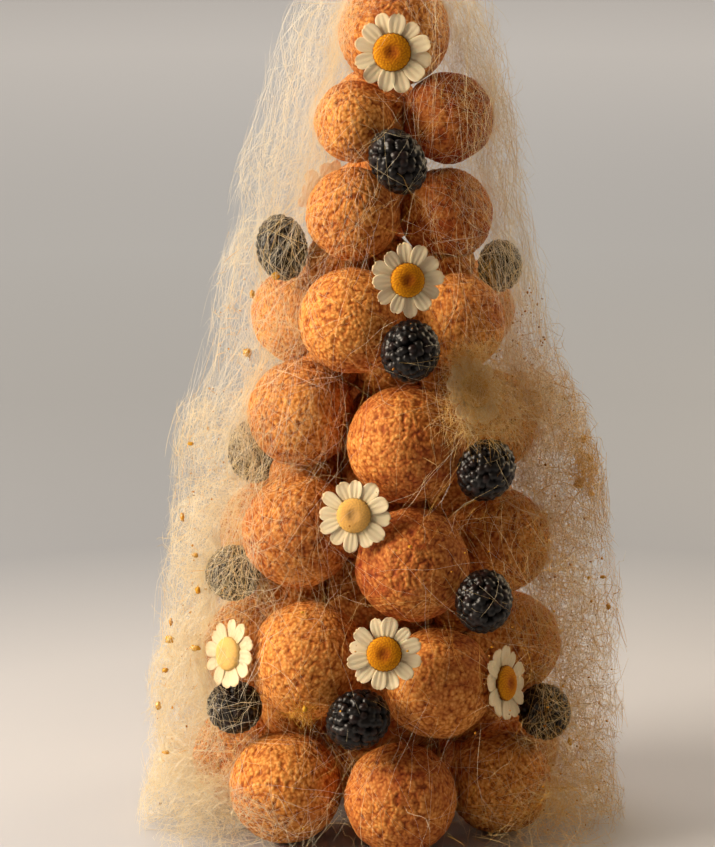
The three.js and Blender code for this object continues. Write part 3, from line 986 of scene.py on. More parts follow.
@dataclass
class Surroundings:
    """What threads lie on and fill, mapped by azimuth and height round the axis."""

    balls: Sequence[Ball]
    web: Array  # corners of the web's node
    azimuth_step: float = 3.0
    height_step: float = 2.5
    stretch_rounds: int = 60
    dome_foot: float = 298.0  # height from which the cloud closes over the top
    dome_height: float = 43.0
    foot_flare: float = 13.0
    foot_height: float = 24.0
    turn_blur: float = 24.0  # degrees
    rise_blur: float = 16.0  # millimetres
    clear: Array = field(init=False)
    skin: Array = field(init=False)
    cloud: Array = field(init=False)

    def __post_init__(self) -> None:
        """Works out the three maps."""
        azimuths = np.arange(0, 360, self.azimuth_step)
        heights = np.arange(0, TOWER_HEIGHT + 16, self.height_step)
        self.clear = self.clear_map(azimuths, heights)
        self.skin = self.stretched(self.clear)
        self.cloud = self.cloud_map(azimuths, heights)

    def clear_map(self, azimuths: Array, heights: Array) -> Array:
        """How far from the axis the last ball ends, by azimuth and height.

        A level ray leaves a ball at along + sqrt(radius^2 - miss^2).
        """
        rays = heading(azimuths)[:, None]
        starts = axis_at(heights)[None]
        reach = np.zeros((len(azimuths), len(heights)))
        for ball in self.balls:
            offset = ball.middle - starts
            along = (offset * rays).sum(-1)
            miss = (offset**2).sum(-1) - along**2
            leaves = along + np.sqrt(np.maximum(ball.radius**2 - miss, 0))
            reach = np.maximum(reach, np.where(miss < ball.radius**2, leaves, 0))
        return reach

    def stretched(self, reach: Array) -> Array:
        """A taut skin over the balls: each place rises to the mean of its four neighbours."""
        skin = reach.copy()
        for _ in range(self.stretch_rounds):
            beside = np.roll(skin, 1, 0) + np.roll(skin, -1, 0)
            below = np.concatenate([skin[:, :1], skin[:, :-1]], 1)
            above = np.concatenate([skin[:, 1:], skin[:, -1:]], 1)
            skin = np.maximum(reach, (beside + below + above) / 4)
        return skin

    def cloud_map(self, azimuths: Array, heights: Array) -> Array:
        """How far out the cloud of threads reaches: a blurred mean of the web's corners.

        Each corner counts by exp(-(turn / turn_blur)^2 - (rise / rise_blur)^2). The top is a
        dome, and the foot reaches farther between the front, the sides and the back.
        """
        spoke = self.web - axis_at(self.web[:, 2])
        radius = np.hypot(spoke[:, 0], spoke[:, 1])
        azimuth = np.degrees(np.arctan2(spoke[:, 0], -spoke[:, 1]))
        turn = (azimuths[:, None] - azimuth + 180) % 360 - 180
        rise = heights[:, None] - self.web[:, 2]
        by_turn = np.exp(-((turn / self.turn_blur) ** 2))
        by_rise = np.exp(-((rise / self.rise_blur) ** 2)) + 1e-9
        total = np.einsum("ai,hi->ah", by_turn, by_rise)
        reach = np.einsum("ai,hi->ah", by_turn * radius, by_rise) / total
        rise = np.clip((heights - self.dome_foot) / self.dome_height, 0, 1)
        squareness = np.sin(2 * np.radians(azimuths))[:, None] ** 2
        flare = self.foot_flare * squareness * np.exp(-((heights / self.foot_height) ** 2))
        return reach * np.sqrt(1 - rise**2) + flare

    def read(self, chart: Array, azimuth: Array, height: Array) -> Array:
        """A map's value at any azimuth and height, blended from the four nearest places."""
        a = azimuth / self.azimuth_step % chart.shape[0]
        h = np.clip(height / self.height_step, 0, chart.shape[1] - 1.001)
        low, ground = np.floor(a).astype(int) % chart.shape[0], np.floor(h).astype(int)
        share, rise = a - np.floor(a), h - ground
        after = (low + 1) % chart.shape[0]
        near = chart[low, ground] * (1 - rise) + chart[low, ground + 1] * rise
        far = chart[after, ground] * (1 - rise) + chart[after, ground + 1] * rise
        return near * (1 - share) + far * share

    def levels(self, azimuth: Array, height: Array) -> tuple[Array, Array, Array]:
        """How far from the axis the balls, the skin and the cloud end."""
        maps = (self.clear, self.skin, self.cloud)
        clear, skin, edge = (self.read(chart, azimuth, height) for chart in maps)
        return clear, skin, edge


class Lie(Enum):
    """How a bundle's threads lie."""

    LOOSE = "every way through the cloud"
    WRAPPED = "between the skin and the edge of the cloud"
    STRAY = "rising out of the cloud's edge"
    CREVICE = "down in the gaps between the balls"
    OVER_TOP = "arched over the highest puff"


@dataclass(frozen=True)
class Bundle:
    """A lot of threads that lie alike. Pairs are a middle and a spread, or a least and a most."""

    name: str
    count: int
    azimuth: Span  # middle and spread, degrees
    height: Span  # least and most, millimetres
    length: Span  # least and most, millimetres
    depth: Span  # least and most share of the way from the skin to the edge
    lean: Span  # middle and spread of the angle from upright, degrees
    curl: float  # how far a thread waves, millimetres
    thickness: Span  # least and most radius, millimetres
    tint: Span  # least and most, from 0, cream, to 1, dark amber
    corners: int = 4  # along a thread
    lie: Lie = Lie.LOOSE
    fade: float = 1.5  # how fast loose threads thin out towards the edge


BUNDLES: tuple[Bundle, ...] = (
    Bundle("left_low", 3300, (-102, 14), (3, 66), (9, 24), (0.0, 1.25), (70, 40), 1.2,
           (0.03, 0.055), (0.05, 0.5)),
    Bundle("left_middle", 4500, (-90, 18), (50, 165), (9, 26), (0.0, 1.25), (60, 40), 1.0,
           (0.028, 0.05), (0.0, 0.45), fade=1.9),
    Bundle("left_foot", 1900, (-66, 18), (1, 26), (9, 22), (0.0, 1.15), (80, 30), 1.2,
           (0.03, 0.055), (0.0, 0.4), fade=1.0),
    Bundle("left_waist", 380, (-84, 22), (155, 220), (14, 36), (0.0, 1.2), (35, 40), 0.8,
           (0.02, 0.036), (0.0, 0.15), fade=1.9),
    Bundle("left_heights", 1200, (-84, 25), (216, 330), (14, 36), (0.0, 1.2), (35, 40), 0.8,
           (0.016, 0.03), (0.0, 0.1), fade=1.9),
    Bundle("left_shoulder", 700, (-92, 11), (216, 266), (9, 24), (0.0, 1.1), (60, 40), 1.2,
           (0.03, 0.05), (0.0, 0.3)),
    Bundle("left_fibres", 900, (-84, 22), (6, 160), (12, 40), (0.1, 1.35), (60, 40), 2.6,
           (0.045, 0.08), (0.0, 0.4), corners=7),
    Bundle("left_strands", 560, (-86, 24), (110, 325), (22, 64), (0.1, 1.35), (22, 30), 1.8,
           (0.028, 0.048), (0.0, 0.12), corners=6),
    Bundle("right_low", 6600, (86, 19), (3, 178), (8, 24), (0.0, 1.25), (65, 40), 1.4,
           (0.038, 0.066), (0.15, 0.75)),
    Bundle("right_foot", 1000, (64, 16), (1, 28), (9, 22), (0.0, 1.15), (80, 30), 1.2,
           (0.035, 0.06), (0.3, 0.9), fade=1.0),
    Bundle("right_tangle", 1000, (84, 19), (10, 185), (12, 34), (0.1, 1.35), (60, 40), 3.4,
           (0.045, 0.08), (0.4, 0.95), corners=9),
    Bundle("right_knot", 150, (80, 6), (130, 156), (6, 22), (0.8, 1.2), (60, 40), 3.0,
           (0.07, 0.12), (0.55, 0.85), corners=9),
    Bundle("left_knot", 70, (-26, 3), (55, 62), (3, 9), (0.0, 0.3), (70, 40), 1.4,
           (0.08, 0.14), (0.75, 1.0), corners=6),
    Bundle("right_heights", 3500, (90, 25), (160, 330), (12, 30), (0.0, 1.2), (40, 38), 1.2,
           (0.02, 0.04), (0.0, 0.4)),
    Bundle("right_strands", 420, (90, 24), (120, 325), (18, 56), (0.1, 1.35), (25, 30), 3.0,
           (0.035, 0.06), (0.1, 0.7), corners=7),
    Bundle("back_cloud", 4100, (180, 36), (3, 325), (12, 32), (0.0, 1.25), (55, 40), 1.2,
           (0.03, 0.054), (0.0, 0.5)),
    Bundle("back_fibres", 500, (180, 36), (6, 325), (16, 56), (0.1, 1.35), (40, 40), 2.8,
           (0.04, 0.075), (0.0, 0.6), corners=7),
    Bundle("front_veil", 1300, (-56, 17), (60, 325), (14, 40), (0.0, 0.22), (0, 60), 1.0,
           (0.016, 0.03), (0.2, 0.55), corners=5, lie=Lie.WRAPPED),
    Bundle("right_veil", 900, (60, 15), (10, 300), (10, 34), (0.0, 0.2), (0, 70), 1.2,
           (0.018, 0.034), (0.4, 1.0), corners=5, lie=Lie.WRAPPED),
    Bundle("front_strands", 220, (-10, 45), (4, 325), (20, 60), (0.0, 0.25), (0, 70), 1.2,
           (0.022, 0.04), (0.0, 0.4), corners=10, lie=Lie.WRAPPED),
    Bundle("left_net", 420, (-68, 12), (6, 240), (10, 30), (0.0, 0.16), (0, 80), 1.8,
           (0.045, 0.08), (0.2, 0.6), corners=7, lie=Lie.WRAPPED),
    Bundle("right_patch", 1500, (37, 8), (160, 194), (6, 20), (0.05, 0.6), (60, 40), 1.6,
           (0.03, 0.055), (0.3, 0.8), corners=5),
    Bundle("left_stray", 420, (-90, 26), (6, 325), (20, 60), (0.7, 1.15), (20, 55), 3.4,
           (0.035, 0.06), (0.0, 0.25), corners=7, lie=Lie.STRAY),
    Bundle("right_stray", 360, (90, 26), (6, 325), (14, 42), (0.7, 1.15), (15, 65), 3.8,
           (0.035, 0.06), (0.1, 0.8), corners=7, lie=Lie.STRAY),
    Bundle("back_stray", 240, (180, 40), (6, 320), (20, 50), (0.7, 1.15), (15, 55), 3.2,
           (0.035, 0.06), (0.0, 0.5), corners=7, lie=Lie.STRAY),
    Bundle("crevices", 900, (5, 75), (8, 290), (12, 32), (0.0, 1.0), (0, 75), 2.6,
           (0.03, 0.046), (0.0, 0.8), corners=7, lie=Lie.CREVICE),
    Bundle("left_crevices", 450, (-72, 20), (8, 200), (12, 28), (0.0, 1.0), (0, 75), 2.4,
           (0.03, 0.05), (0.1, 0.8), corners=6, lie=Lie.CREVICE),
    Bundle("right_amber", 300, (86, 22), (16, 178), (3, 12), (0.3, 1.2), (60, 40), 1.2,
           (0.08, 0.16), (0.55, 1.0), corners=6),
    Bundle("left_amber", 150, (-84, 18), (16, 230), (2, 8), (0.5, 1.3), (60, 40), 0.8,
           (0.07, 0.13), (0.4, 0.8), corners=5),
    Bundle("crown", 120, (0, 180), (306, 306), (20, 60), (0.0, 1.0), (0, 60), 1.0,
           (0.016, 0.03), (0.0, 0.4), corners=9, lie=Lie.OVER_TOP),
)


VEILED_DAISIES = ("daisy_7", "daisy_9")  # deep under threads
NETTED_BRAMBLES = ("bramble_7", "bramble_9", "bramble_13", "bramble_14")
OPEN_TO_FEW, OPEN_TO_MANY = 0.1, 0.45  # shares of the threads that cross an open topping
TRIES: Mapping[Lie, int] = {Lie.CREVICE: 12, Lie.LOOSE: 3}  # places tried for each thread
UNROLLED = 60.0  # radius at which patterns of threads are unrolled, in millimetres


@dataclass
class SpunSugar:
    """All threads of spun sugar, bundle by bundle."""

    around: Surroundings
    top: Ball
    open_spaces: Sequence[tuple[Ball, float]]  # and the share of the threads that cross each
    slope: float = 0.2  # of the cloud's outline, off upright
    floor: float = 0.6  # lowest place of a thread's middle
    ceiling: float = TOWER_HEIGHT + 4  # and the highest
    margin: float = 0.25  # from a thread's middle to what it lies on
    least_cloud: float = 0.8  # thickness of the cloud where it is thinnest
    least_turn: float = 20.0  # radius of the tightest turn round the top
    crevice: float = 5.0  # depth from which a gap between the balls is a crevice
    crevice_reach: float = 16.0  # how deep threads lie in it
    stray_reach: float = 8.0
    lock: float = 42.0  # millimetres from lock to lock of wrapped threads
    clump: float = 26.0  # millimetres from clump to clump of loose threads
    clumping: float = 1.0
    ragged: float = 0.3  # how much the cloud's edge goes in and out
    rag: float = 30.0  # millimetres from one such place to the next
    beyond: float = 9.0  # farthest that loose threads leave the edge, in millimetres

    def waves(self, shape: tuple[int, int], size: float, random: np.random.Generator) -> Array:
        """Smooth random waves along each thread: three sines of rising pitch and falling size."""
        t = np.linspace(0, 1, shape[1])
        total = np.zeros(shape)
        for pitch, share in ((0.04, 1.0), (0.1, 0.6), (0.19, 0.3)):
            phase = random.uniform(0, 2 * math.pi, (shape[0], 1))
            rate = random.uniform(0.7, 1.3, (shape[0], 1)) * pitch * shape[1]
            total += share * np.sin(2 * math.pi * rate * t + phase)
        return total * size * random.uniform(0.3, 1.2, (shape[0], 1))

    def starts(self, bundle: Bundle, random: np.random.Generator) -> tuple[Array, Array]:
        """The azimuth and height of each thread's middle.

        Crevice threads start where the gap is deep, and loose ones gather in clumps.

        Args:
            bundle: what the threads have in common.
            random: the bundle's random numbers.

        Returns:
            Both as columns.
        """
        tries = bundle.count * TRIES.get(bundle.lie, 1)
        azimuth = random.normal(*bundle.azimuth, tries)
        height = random.uniform(*bundle.height, tries)
        if bundle.lie is Lie.CREVICE:
            clear, skin, _ = self.around.levels(azimuth, height)
            chosen = random.choice(np.flatnonzero(skin - clear > self.crevice), bundle.count)
            azimuth, height = azimuth[chosen], height[chosen]
        elif bundle.lie is Lie.LOOSE:
            spot = np.stack([np.radians(azimuth) * UNROLLED, height, np.zeros(tries)], -1)
            weight = np.exp(self.clumping * swells(spot, self.clump, CLUMP_SEED, 7))
            chosen = random.choice(tries, bundle.count, False, weight / weight.sum())
            azimuth, height = azimuth[chosen], height[chosen]
        return azimuth[:, None], height[:, None]

    def loose(self, bundle: Bundle, random: np.random.Generator) -> Array:
        """Threads that run every way through the cloud.

        A thread is a line with waves. It leaves the slope of the cloud's outline by an angle
        from the bundle's lean, to any side. Its middle lies at skin + depth * (edge - skin).

        Args:
            bundle: what the threads have in common.
            random: the bundle's random numbers.

        Returns:
            Paths, (threads, corners, 3).
        """
        count, shape = bundle.count, (bundle.count, bundle.corners)
        start, rise = (column[:, 0] for column in self.starts(bundle, random))
        _, skin, edge = self.around.levels(start, rise)
        edge = np.maximum(edge, skin + self.least_cloud)
        outward = heading(start)
        spot = axis_at(rise) + outward * edge[:, None]
        rag = 1 + self.ragged * swells(spot, self.rag, RAG_SEED)
        least, most = bundle.depth
        depth = (least + (most - least) * random.uniform(0, 1, count) ** bundle.fade) * rag
        middle = axis_at(rise) + outward * (skin + depth * (edge - skin))[:, None]
        upright = unit(np.array([0, 0, 1]) - self.slope * outward)
        lean = np.radians(random.normal(*bundle.lean, count))[:, None]
        side = random.uniform(0, 2 * math.pi, count)[:, None]
        aside = np.cos(side) * outward + np.sin(side) * np.cross(upright, outward)
        way = np.cos(lean) * upright + np.sin(lean) * aside
        length = random.uniform(*bundle.length, (count, 1)) * np.linspace(-0.5, 0.5, shape[1])
        paths = middle[:, None] + way[:, None] * length[..., None]
        paths += np.stack([self.waves(shape, bundle.curl, random) for _ in range(3)], -1)
        return self.held(paths)

    def held(self, paths: Array) -> Array:
        """Moves threads out of the balls, and in from far beyond the cloud's edge.

        What leaves the edge by some way w goes only b (1 - exp(-w / b)) beyond it.

        Args:
            paths: (threads, corners, 3).

        Returns:
            The moved paths.
        """
        height = np.clip(paths[..., 2], self.floor, self.ceiling)
        spoke = paths - axis_at(height)
        azimuth = np.degrees(np.arctan2(spoke[..., 0], -spoke[..., 1]))
        reach = np.hypot(spoke[..., 0], spoke[..., 1])
        clear, _, edge = self.around.levels(azimuth, height)
        over = np.maximum(reach - edge, 0)
        reach = reach - over + self.beyond * (1 - np.exp(-over / self.beyond))
        reach = np.maximum(reach, clear + self.margin)
        return axis_at(height) + heading(azimuth) * reach[..., None]

    def wrapped(self, bundle: Bundle, random: np.random.Generator) -> Array:
        """Threads wound round the tower, straying from its edge or down in its crevices.

        A thread runs straight on the unrolled cone, with waves. Its lean is part its own and
        part shared with its neighbours, as locks of hair lie.

        Args:
            bundle: what the threads have in common.
            random: the bundle's random numbers.

        Returns:
            Paths, (threads, corners, 3).
        """
        shape, one = (bundle.count, bundle.corners), (bundle.count, 1)
        t = np.linspace(-0.5, 0.5, bundle.corners)
        start, rise = self.starts(bundle, random)
        around = np.maximum(self.around.read(self.around.cloud, start, rise), self.least_turn)
        spot = np.concatenate([np.radians(start) * UNROLLED, rise, start * 0], 1)
        lock = swells(spot, self.lock, LOCK_SEED)[:, None]
        lean = bundle.lean[0] + bundle.lean[1] * (0.6 * lock + 0.75 * random.normal(size=one))
        lean = np.radians(lean)
        length = random.uniform(*bundle.length, one)
        up = length * t * np.cos(lean) + self.waves(shape, bundle.curl, random)
        across = length * t * np.sin(lean) + self.waves(shape, bundle.curl, random)
        height = np.clip(rise + up, self.floor, self.ceiling)
        azimuth = start + np.degrees(across / around)
        reach = self.laid(bundle, azimuth, height, random)
        return axis_at(height) + heading(azimuth) * reach[..., None]

    def laid(
        self, bundle: Bundle, azimuth: Array, height: Array, random: np.random.Generator
    ) -> Array:
        """How far from the axis threads that wind round the tower lie.

        It is skin + depth * (edge - skin), where a stray thread lifts off at one end and a
        crevice one lies under the skin, with waves. It is smoothed and kept clear of the balls.

        Args:
            bundle: what the threads have in common.
            azimuth: of each corner, (threads, corners).
            height: of each corner.
            random: the bundle's random numbers.

        Returns:
            One distance for each corner.
        """
        shape, one = azimuth.shape, (bundle.count, 1)
        t = np.linspace(-0.5, 0.5, bundle.corners)
        clear, skin, edge = self.around.levels(azimuth, height)
        clear = clear + self.margin
        edge = np.maximum(edge, skin + self.least_cloud)
        if bundle.lie is Lie.STRAY:
            reach = skin + random.uniform(*bundle.depth, one) * (edge - skin)
            reach = reach + self.stray_reach * random.uniform(-0.5, 1, one) * (t + 0.5) ** 1.5
            reach = reach + self.waves(shape, 1.6, random)
        elif bundle.lie is Lie.CREVICE:
            sunk = np.clip(skin - clear, 0, self.crevice_reach)
            reach = skin - random.uniform(0, 1, one) * sunk + self.waves(shape, 0.8, random)
        else:
            least, most = bundle.depth
            depth = least + (most - least) * random.uniform(0, 1, one) ** 1.6
            drift = t * random.normal(0, 0.5, one) + self.waves(shape, 0.14, random)
            reach = skin + np.abs(depth + drift) * (edge - skin)
            reach = np.minimum(reach, edge + 3) + self.waves(shape, 0.35, random)
        for _ in range(2):
            reach = np.maximum(reach, clear)
            inner = (reach[:, :-2] + 2 * reach[:, 1:-1] + reach[:, 2:]) / 4
            reach = np.concatenate([reach[:, :1], inner, reach[:, -1:]], 1)
        return np.maximum(reach, clear)

    def over_top(self, bundle: Bundle, random: np.random.Generator) -> Array:
        """Arcs over the highest puff: parts of great circles a little outside it.

        Args:
            bundle: what the threads have in common.
            random: the bundle's random numbers.

        Returns:
            Paths, (threads, corners, 3).
        """
        shape = (bundle.count, bundle.corners)
        one = (bundle.count, 1)
        middle = unit(random.normal(size=(bundle.count, 3)) * [1, 1, 0.6] + [0, 0, 0.75])
        way = unit(np.cross(middle, random.normal(size=(bundle.count, 3))))
        out = self.top.radius + 0.5 + 9 * random.uniform(0, 1, one) ** 2
        angle = np.linspace(-0.5, 0.5, bundle.corners) * random.uniform(*bundle.length, one) / out
        radius = out + np.maximum(self.waves(shape, 0.8, random), -0.3)
        arc = middle[:, None] * np.cos(angle)[..., None] + way[:, None] * np.sin(angle)[..., None]
        return self.top.middle + arc * radius[..., None]

    def tubes(self, paths: Array, radii: Array) -> tuple[Array, Array]:
        """Three-sided closed tubes along paths.

        Each corner of a path gets a triangle square to the path, which tapers to its ends.

        Args:
            paths: (threads, corners, 3).
            radii: one for each thread.

        Returns:
            Corners and triangles of all tubes.
        """
        threads, corners, _ = paths.shape
        ahead = unit(np.gradient(paths, axis=1))
        chord = unit(paths[:, -1] - paths[:, 0])
        aside = unit(np.cross(chord, [0.31, 0.87, 0.38]))[:, None]
        side = unit(aside - (aside * ahead).sum(-1, keepdims=True) * ahead)
        third = np.cross(ahead, side)
        along = np.linspace(0, 1, corners)
        taper = np.minimum(1, 0.35 + 5 * np.minimum(along, 1 - along))
        width = (radii[:, None] * taper)[..., None]
        angles = [2 * math.pi * k / 3 for k in range(3)]
        rings = [paths + width * (math.cos(a) * side + math.sin(a) * third) for a in angles]
        points = np.stack(rings, 2).reshape(-1, 3)
        return points, self.tube_faces(threads, corners)

    @staticmethod
    def tube_faces(threads: int, corners: int) -> Array:
        """Triangles of three-sided tubes: two on each side of each step, and one at each end."""
        ring = np.arange(corners * 3).reshape(corners, 3)
        here, beside = ring[:-1], np.roll(ring[:-1], -1, 1)
        next_here, next_beside = ring[1:], np.roll(ring[1:], -1, 1)
        first = np.stack([here, beside, next_beside], -1).reshape(-1, 3)
        second = np.stack([here, next_beside, next_here], -1).reshape(-1, 3)
        ends = np.array([ring[0, ::-1], ring[-1]])
        one = np.concatenate([first, second, ends])
        return (one[None] + (np.arange(threads) * corners * 3)[:, None, None]).reshape(-1, 3)

    @staticmethod
    def chart(threads: int, corners: int) -> Array:
        """A UV place for each face corner: a square cell for each thread, read along it."""
        cells = math.ceil(math.sqrt(threads))
        along = np.repeat(np.linspace(0.15, 0.85, corners), 3)
        aside = np.tile([0.2, 0.5, 0.8], corners)
        local = np.stack([along, aside], -1)[SpunSugar.tube_faces(1, corners)]
        index = np.arange(threads)
        corner = np.stack([index % cells, index // cells], -1)[:, None, None]
        return ((local[None] + corner) / cells).reshape(-1, 3, 2)

    def build(self, bundle: Bundle, seed: int, finish: PulledSugar) -> bpy.types.Object:
        """Makes one bundle's piece.

        Args:
            bundle: the bundle.
            seed: seed of its random numbers.
            finish: the threads' finish.

        Returns:
            The piece, which with the others replaces the web's node.
        """
        random = np.random.default_rng(seed)
        make = {Lie.OVER_TOP: self.over_top, Lie.LOOSE: self.loose}.get(bundle.lie, self.wrapped)
        paths = make(bundle, random)
        for space, share in self.open_spaces:
            gap = np.linalg.norm(paths - space.middle, axis=-1).min(1)
            kept = (gap > space.radius) | (random.uniform(0, 1, len(paths)) < share)
            paths = paths[kept]
        radii = random.uniform(*bundle.thickness, len(paths))
        points, faces = self.tubes(paths, radii)
        tint = np.repeat(random.uniform(*bundle.tint, len(paths)), bundle.corners * 3)
        chart = self.chart(len(paths), bundle.corners)
        points[:, 2] = np.maximum(points[:, 2], 0)
        name = f"sugar_{bundle.name}"
        return add_piece(name, points, faces, finish, ["spun_sugar"], {"tint": tint}, chart)


@dataclass(frozen=True)
class Drip:
    """A lump of caramel that set in the cloud."""

    azimuth: float
    height: float
    depth: float  # share of the way from the skin to the cloud's edge
    size: float  # radius in millimetres


DRIPS: tuple[Drip, ...] = (
    Drip(-70, 209, 0.45, 1.5), Drip(-68, 187, 0.5, 1.6), Drip(-60, 217, 0.05, 1.2),
    Drip(-78, 122, 1.0, 1.4), Drip(-80, 80, 1.0, 1.2), Drip(-80, 73, 1.0, 1.3),
    Drip(-66, 97, 0.6, 1.2), Drip(-62, 76, 0.6, 1.4), Drip(-84, 45, 1.0, 1.3),
    Drip(-75, 30, 1.0, 1.2), Drip(-80, 150, 1.0, 1.1), Drip(-82, 60, 1.0, 1.1),
    Drip(-74, 108, 0.5, 1.0), Drip(-24, 60, 0.05, 1.5), Drip(8, 122, 0.05, 1.0),
    Drip(86, 150, 0.9, 1.5), Drip(84, 143, 1.0, 1.2), Drip(82, 134, 0.8, 1.7),
    Drip(88, 128, 1.0, 1.0), Drip(80, 98, 1.0, 1.1), Drip(86, 84, 1.0, 1.2),
    Drip(120, 110, 0.5, 1.3), Drip(160, 60, 0.5, 1.4), Drip(-150, 150, 0.4, 1.3),
    Drip(-120, 90, 0.6, 1.4), Drip(178, 200, 0.4, 1.2), Drip(60, 40, 0.6, 1.2),
)


# Shares of the specks on each side of the cloud, by the azimuth of its middle.
SPECK_SIDES: Mapping[float, float] = {-90.0: 0.22, 86.0: 0.56, 180.0: 0.16, 0.0: 0.06}


@dataclass
class CaramelBeads:
    """Lumps and specks of caramel caught in the cloud."""

    around: Surroundings
    specks: int = 700
    spread: float = 24.0  # degrees that specks stray from the middle of their side
    heights: Span = (6.0, 211.0)
    depths: Span = (0.05, 1.1)  # shares of the way from the skin to the cloud's edge
    sizes: Span = (0.2, 0.6)  # radii
    least_cloud: float = 2.0  # thickness of the cloud where lumps hang in it
    knobs: float = 0.16  # how uneven a lump is

    def scattered(self) -> Array:
        """Azimuth, height, depth and size of every speck, as rows."""
        random = np.random.default_rng(BEAD_SEED)
        count = self.specks
        side = random.choice(list(SPECK_SIDES), count, p=list(SPECK_SIDES.values()))
        small = random.uniform(0, 1, count) ** 2
        azimuth = side + random.normal(0, self.spread, count)
        height = np.interp(random.uniform(0, 1, count) ** 1.2, (0, 1), self.heights)
        depth = random.uniform(*self.depths, count) ** 0.8
        return np.stack([azimuth, height, depth, np.interp(small, (0, 1), self.sizes)])

    def build(self, finish: CaramelDrop) -> list[bpy.types.Object]:
        """Makes the placed lumps as one piece and the specks as another.

        Args:
            finish: the caramel's finish.

        Returns:
            Both pieces.
        """
        placed = np.array([(drip.azimuth, drip.height, drip.depth, drip.size) for drip in DRIPS])
        return [
            self.lumps("caramel_drips", placed.T, 4, (0.05, 0.4), finish),
            self.lumps("caramel_specks", self.scattered(), 2, (0.1, 0.9), finish),
        ]

    def lumps(
        self, name: str, spots: Array, steps: int, tints: Span, finish: CaramelDrop
    ) -> bpy.types.Object:
        """Makes a piece of small closed lumps.

        Args:
            name: the piece's name.
            spots: azimuth, height, depth and size of each lump, as rows.
            steps: quads along a side of a lump's grid.
            tints: least and most of how dark a lump is.
            finish: the caramel's finish.

        Returns:
            The piece.
        """
        random = np.random.default_rng(BEAD_SEED + steps)
        azimuth, height, depth, size = spots
        _, skin, edge = self.around.levels(azimuth, height)
        edge = np.maximum(edge, skin + self.least_cloud)
        reach = skin + 0.8 * size + depth * (edge - skin)
        middles = axis_at(height) + heading(azimuth) * reach[:, None]
        ways, faces = ball_grid(steps)
        stretch = random.uniform(0.55, 1.25, (len(size), 1, 3))
        knobs = 1 + self.knobs * random.normal(size=(len(size), len(ways), 1))
        points = middles[:, None] + ways[None] * size[:, None, None] * stretch * knobs
        joined = faces[None] + (np.arange(len(size)) * len(ways))[:, None, None]
        points, joined = points.reshape(-1, 3), joined.reshape(-1, 4)
        tint = np.repeat(random.uniform(*tints, len(size)), len(ways))
        return add_piece(name, points, joined, finish, ["spun_sugar"], {"tint": tint})


# ---- studio -------------------------------------------------------------------------------


@dataclass(frozen=True)
class Lamp:
    """A soft light: a square window near the tower or, with no distance, a broad sky light."""

    name: str
    azimuth: float
    elevation: float
    distance: float  # metres; 0 is far away
    breadth: float  # metres, or degrees when it is far away
    power: float  # watts, or watts on a square metre when it is far away
    tint: str


